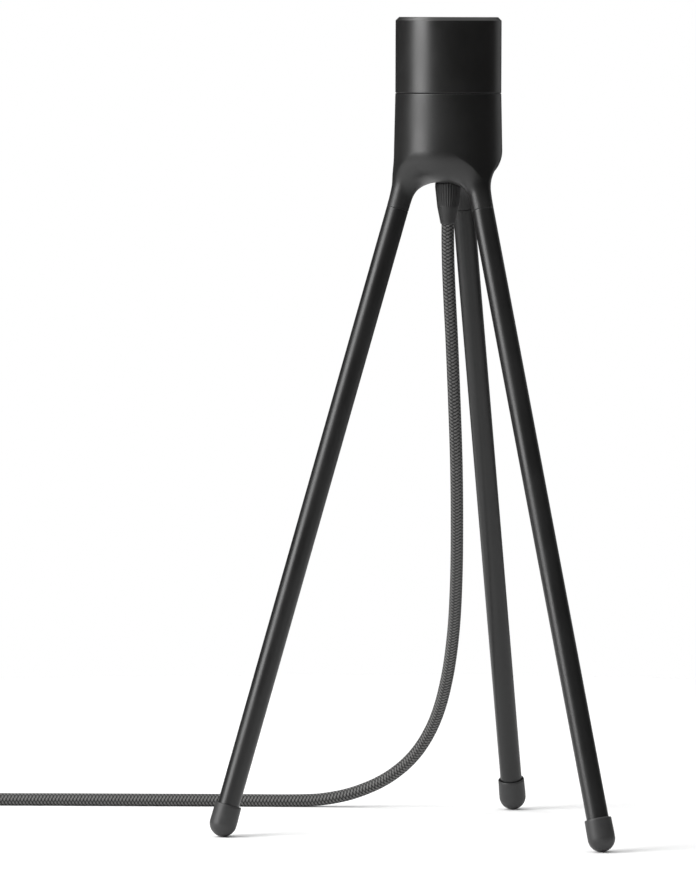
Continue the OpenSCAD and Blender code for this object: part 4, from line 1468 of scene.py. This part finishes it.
@dataclass
class Switch:
    """The in-line rocker switch: two rounded shells and a rocker in a window."""

    layout: Layout
    wall: float = 1.8
    edge: float = 2.6
    split: float = 8
    travel: float = 14
    pivot_drop: float = 3.2
    rocker_len: float = 17
    rocker_w: float = 9.8
    columns: int = 160

    def shells(self) -> tuple[Solid, Solid]:
        """Return the lower and the upper shell.

        Every ring is a superellipse about the switch's middle: the outside, its rounded edge, the
        window's edge on the upper shell, and the inside. The lower shell closes through its middle.
        """
        low, high = span("switch_base")[0], span("switch_cover")[1]
        half = (high - low) / 2
        middle = (high + low) / 2
        a = np.linspace(0, TURN, self.columns, endpoint=False)

        def ring(x: float, y: float, z: float, power: float = 3.2) -> np.ndarray:
            """Return one ring of points."""
            spot = superellipse(a, x, y, power)
            return np.column_stack([spot + middle[:2], np.full(len(a), z)])

        edge = np.radians(np.linspace(0, 90, 7))
        top, e, w = high[2], self.edge, self.wall
        gap = self.split + 0.2
        window = (self.rocker_len / 2 + 0.5, self.rocker_w / 2 + 0.4)
        upper = [ring(half[0] - 0.35, half[1] - 0.35, gap), ring(half[0], half[1], gap + 0.35)]
        upper += [ring(half[0] - e * (1 - math.cos(t)), half[1] - e * (1 - math.cos(t)),
                       top - e * (1 - math.sin(t)), 3.2) for t in edge]
        for wider, power in ((1.6, 7), (0.3, 9)):
            upper.append(ring(window[0] + wider, window[1] + wider, top, power))
        upper += [ring(window[0], window[1], top - 0.3, 9), ring(window[0], window[1], top - w, 9)]
        upper += [ring(half[0] - e, half[1] - e, top - w), ring(half[0] - w, half[1] - w, top - e - 1)]
        upper += [ring(half[0] - w, half[1] - w, gap)]
        lower = [ring(half[0] - 0.35, half[1] - 0.35, self.split), ring(half[0], half[1], self.split - 0.35)]
        lower += [ring(half[0] - e * (1 - math.cos(t)), half[1] - e * (1 - math.cos(t)),
                       e * (1 - math.sin(t)) + low[2], 3.2) for t in edge]
        lower += [ring(12, 6, low[2]), ring(0.5, 0.5, low[2]), ring(0.5, 0.5, low[2] + w)]
        lower += [ring(12, 6, low[2] + w), ring(half[0] - w - 1.5, half[1] - w - 1.5, low[2] + w)]
        lower += [ring(half[0] - w, half[1] - w, height) for height in (low[2] + w + 1.5, self.split)]
        return lofted(np.array(lower), closed=True), lofted(np.array(upper), closed=True)

    def rocker(self) -> list[Solid]:
        """Return the rocker: a shallow V carried across the switch, with rounded ends and a pivot."""
        low, high = span("switch_base")[0], span("switch_cover")[1]
        middle = (high + low) / 2
        half = self.rocker_len / 2
        rise = half * math.tan(math.radians(self.travel / 2))
        face = 3.6
        outline = rounded([
            (-half + 0.6, -1.2, 0.4), (half - 0.6, -1.2, 0.4), (half, face + rise, 0.6), (0, face, 2.5),
            (-half, face + rise, 0.6),
        ], 6)
        y = self.rocker_w / 2
        levels = [(-y, 0.5), (-y + 0.15, 0.15), (-y + 0.5, 0), (y - 0.5, 0), (y - 0.15, 0.15), (y, 0.5)]
        block = prism(outline, levels)
        pin = np.stack([np.zeros(9), np.zeros(9), np.linspace(-y - 1.8, y + 1.8, 9)], axis=1)
        at = Matrix.Translation(Vector((middle[0], middle[1], high[2] - self.pivot_drop)))
        tilt = Matrix.Rotation(math.radians(self.travel / 2), 4, "Y") @ Matrix.Rotation(math.pi / 2, 4, "X")
        matrix = matrix_of(at @ tilt)
        return [s.placed(matrix).outward() for s in (block, swept(pin, 1.2, 20))]

    def build(self, finishes: Finishes) -> None:
        """Make both shells and the rocker."""
        lower, upper = self.shells()
        place_piece(finishes, "switch_shell_lower", [lower], "base", "switch_plastic", ["switch_base"], 50)
        place_piece(finishes, "switch_shell_upper", [upper], "base", "switch_plastic", ["switch_cover"], 50)
        place_piece(finishes, "rocker_key", self.rocker(), "rocker", "switch_plastic", ["switch_rocker"], 50)


@dataclass
class Plug:
    """The flat two-pin plug's moulded body and its tapered strain relief."""

    layout: Layout
    relief_len: float = 24
    cord_r: float = 2.9
    slots: int = 4

    def frame(self) -> tuple[np.ndarray, float, float, float]:
        """Return the plug's own frame, Z towards the pins, with its half width, half height and length."""
        relief_high = span("plug_relief")[1]
        low, high = span("plug_body")
        middle = (low + high) / 2
        at = Vector((middle[0], relief_high[1], middle[2]))
        matrix = matrix_of(Matrix.Translation(at) @ Matrix.Rotation(math.pi / 2, 4, "X"))
        half = (high - low) / 2
        return matrix, half[0], half[2], high[1] - low[1]

    def body(self, half_w: float, half_h: float, length: float) -> Solid:
        """Return the body: superellipses that widen from the relief to a flat, round-edged face."""
        end = length - 1.2
        s = np.concatenate([np.linspace(0, 1, 30) ** 1.2 * end, end + np.array([0.4, 0.8, 1.05, 1.2])])
        a = np.linspace(0, TURN, 96, endpoint=False)
        grow = smooth_step(s, -2, 17)
        shrink = 1.2 * (1 - np.sqrt(np.clip(1 - ((s - length + 1.2) / 1.2).clip(0, 1) ** 2, 0, 1)))
        w = 8 + (half_w - 8) * grow - shrink
        h = half_h * (0.88 + 0.12 * smooth_step(s, 0, 10)) - shrink
        power = 2.4 + 1.6 * smooth_step(s, 0, 18)
        rings = [np.column_stack([superellipse(a, wi, hi, pi), np.full(96, self.relief_len + si)])
                 for si, wi, hi, pi in zip(s, w, h, power)]
        return lofted(np.array(rings))

    def relief(self, half_h: float) -> Solid:
        """Return the relief: a rigid cone with part-way slots, turn about, of the kind that lets a real
        relief bend.
        """
        z = np.linspace(0.15, self.relief_len, 150)
        r = np.interp(z, [0, self.relief_len], [self.cord_r + 0.9, half_h - 0.6])
        rows = [(self.cord_r + 0.1, 0.5), (self.cord_r + 0.5, 0.02)] + list(zip(r, z))
        rows += [(self.cord_r + 0.1, self.relief_len)]

        def slotted(radius: np.ndarray, height: np.ndarray, a: np.ndarray) -> np.ndarray:
            """Cut slots on two sides, half a step higher on the other pair."""
            step = self.relief_len * 0.208
            place = np.mod((height - 2.6) / step, 1)
            side = smooth_step(np.abs(np.cos(a)), 0.45, 0.6)
            cut = side * (1 - smooth_step(np.abs(place - 0.35) * step, 0.55, 0.8))
            span_mask = (height > 2.4) & (height < self.relief_len - 2.5)
            pressed = np.minimum(radius, radius - cut * (radius - 3.5))
            return np.where(span_mask & (radius > 3.5), pressed, radius)

        return revolved(np.array(rows), 96, slotted)

    def build(self, finishes: Finishes) -> None:
        """Make the body and the relief."""
        matrix, half_w, half_h, length = self.frame()
        body = self.body(half_w, half_h, length).placed(matrix).outward()
        relief = self.relief(half_h).placed(matrix).outward()
        place_piece(finishes, "plug_shell", [body], "base", "plug_plastic", ["plug_body"], 50)
        place_piece(finishes, "plug_taper", [relief], "base", "plug_plastic", ["plug_relief"], 50)


# ---- Studio --------------------------------------------------------------------------------------


@dataclass(frozen=True)
class SoftBox:
    """A soft rectangular light: where it stands, how large it is, and how bright its face is."""

    name: str
    at: tuple[float, float, float]
    size: tuple[float, float]
    radiance: float
    aim: tuple[float, float, float] = (0.0, 0.0, 0.2)

    def build(self) -> None:
        """Add the light, turned to its aim and unseen by the camera."""
        light = bpy.data.lights.new(self.name, "AREA")
        light.shape = "RECTANGLE"
        light.size, light.size_y = self.size
        light.energy = self.radiance * math.pi * self.size[0] * self.size[1]
        obj = bpy.data.objects.new(self.name, light)
        obj.location = self.at
        obj.rotation_euler = (Vector(self.aim) - Vector(self.at)).to_track_quat("-Z", "Y").to_euler()
        obj.visible_camera = False
        bpy.context.scene.collection.objects.link(obj)


@dataclass
class Studio:
    """Camera, pale floor, bright surroundings and three soft lights."""

    away: float = 3.3306
    height: float = 0.372
    side: float = -0.04515
    aim_z: float = 0.1817
    lens: float = 302.9
    roll: float = 0.169
    floor_r: float = 0.8
    overhead: float = 1.2
    horizon: float = 0.04
    lights = (
        SoftBox("key_box", (-1.35, -0.66, 0.82), (0.95, 1.6), 8.2),
        SoftBox("rim_strip", (0.96, 1.15, 0.6), (0.8, 1.2), 0.4),
        SoftBox("top_box", (-0.76, 0.36, 1.5), (0.5, 0.5), 6.0),
    )

    def camera(self) -> None:
        """Add the camera, level but for its aim and a very small roll."""
        data = bpy.data.cameras.new("camera")
        data.lens = self.lens
        data.sensor_width = 36
        obj = bpy.data.objects.new("camera", data)
        at = Vector((0, -self.away, self.height))
        look = (Vector((self.side, 0, self.aim_z)) - at).to_track_quat("-Z", "Y").to_matrix().to_4x4()
        obj.matrix_world = Matrix.Translation(at) @ look @ Matrix.Rotation(math.radians(self.roll), 4, "Z")
        bpy.context.scene.collection.objects.link(obj)
        bpy.context.scene.camera = obj

    def surroundings(self) -> None:
        """Make the world: white to the camera, bright overhead and dim near the horizon otherwise."""
        world = bpy.data.worlds.new("studio")
        net = Net(world, "ShaderNodeBackground", "ShaderNodeOutputWorld")
        way = net.add("ShaderNodeTexCoord", {}, {}, "Generated")
        _, _, up = net.axes(way)
        glow = up.ramp(math.sin(math.radians(22)), math.sin(math.radians(58)), self.horizon, self.overhead)
        seen = net.add("ShaderNodeLightPath", {}, {}, "Is Camera Ray")
        net.finish({"Color": (1.0, 1.0, 1.0, 1.0), "Strength": seen + (1 - seen) * glow})
        bpy.context.scene.world = world
        bpy.context.scene.view_settings.view_transform = "Standard"

    def ground(self, finishes: Finishes) -> None:
        """Lay a thin round floor just under the feet, on no body."""
        r, top = self.floor_r / MM, -0.05
        disc = revolved(np.array([(1.0, top), (r, top), (r, top - 4), (1.0, top - 4)]), 96, closed=False)
        floor = add_piece("studio_floor", [disc])
        floor.data.materials.append(finishes.floor)

    def build(self, finishes: Finishes) -> None:
        """Add the floor, the surroundings and the lights."""
        self.ground(finishes)
        self.surroundings()
        for light in self.lights:
            light.build()


CAD_FINISHES = {
    "hub_washer": "steel", "hub_nut": "brass", "grip_body": "grip_plastic",
    "lampholder_dome": "black_plastic", "lampholder_core": "contact_block",
    "terminals": "brass", "terminal_screws": "steel",
    "cord_end": "wire_brown", "wire_live": "wire_brown", "wire_neutral": "wire_blue",
    "leg_insert_back": "steel", "leg_insert_left": "steel", "leg_insert_right": "steel",
    "switch_bridge": "brass", "switch_contacts": "brass", "switch_clamps": "black_plastic",
    "switch_screws": "steel", "plug_pins": "nickel", "plug_sleeves": "black_plastic",
}


def main() -> None:
    """Build the camera and the cord, then every sub-assembly, the kept nodes' finishes and the studio."""
    logging.basicConfig(level=logging.INFO, format="%(name)s: %(message)s")
    layout = Layout.from_frame()
    studio = Studio()
    studio.camera()
    finishes = Finishes()
    cord = Cord(layout)
    for part in (cord, Hub(layout), Collar(layout), Lampholder(layout), Grip(layout), Legs(layout),
                 Switch(layout), Plug(layout)):
        part.build(finishes)
    cord.declare()
    finishes.dress_cad(CAD_FINISHES)
    studio.build(finishes)


if __name__ == "__main__":
    main()
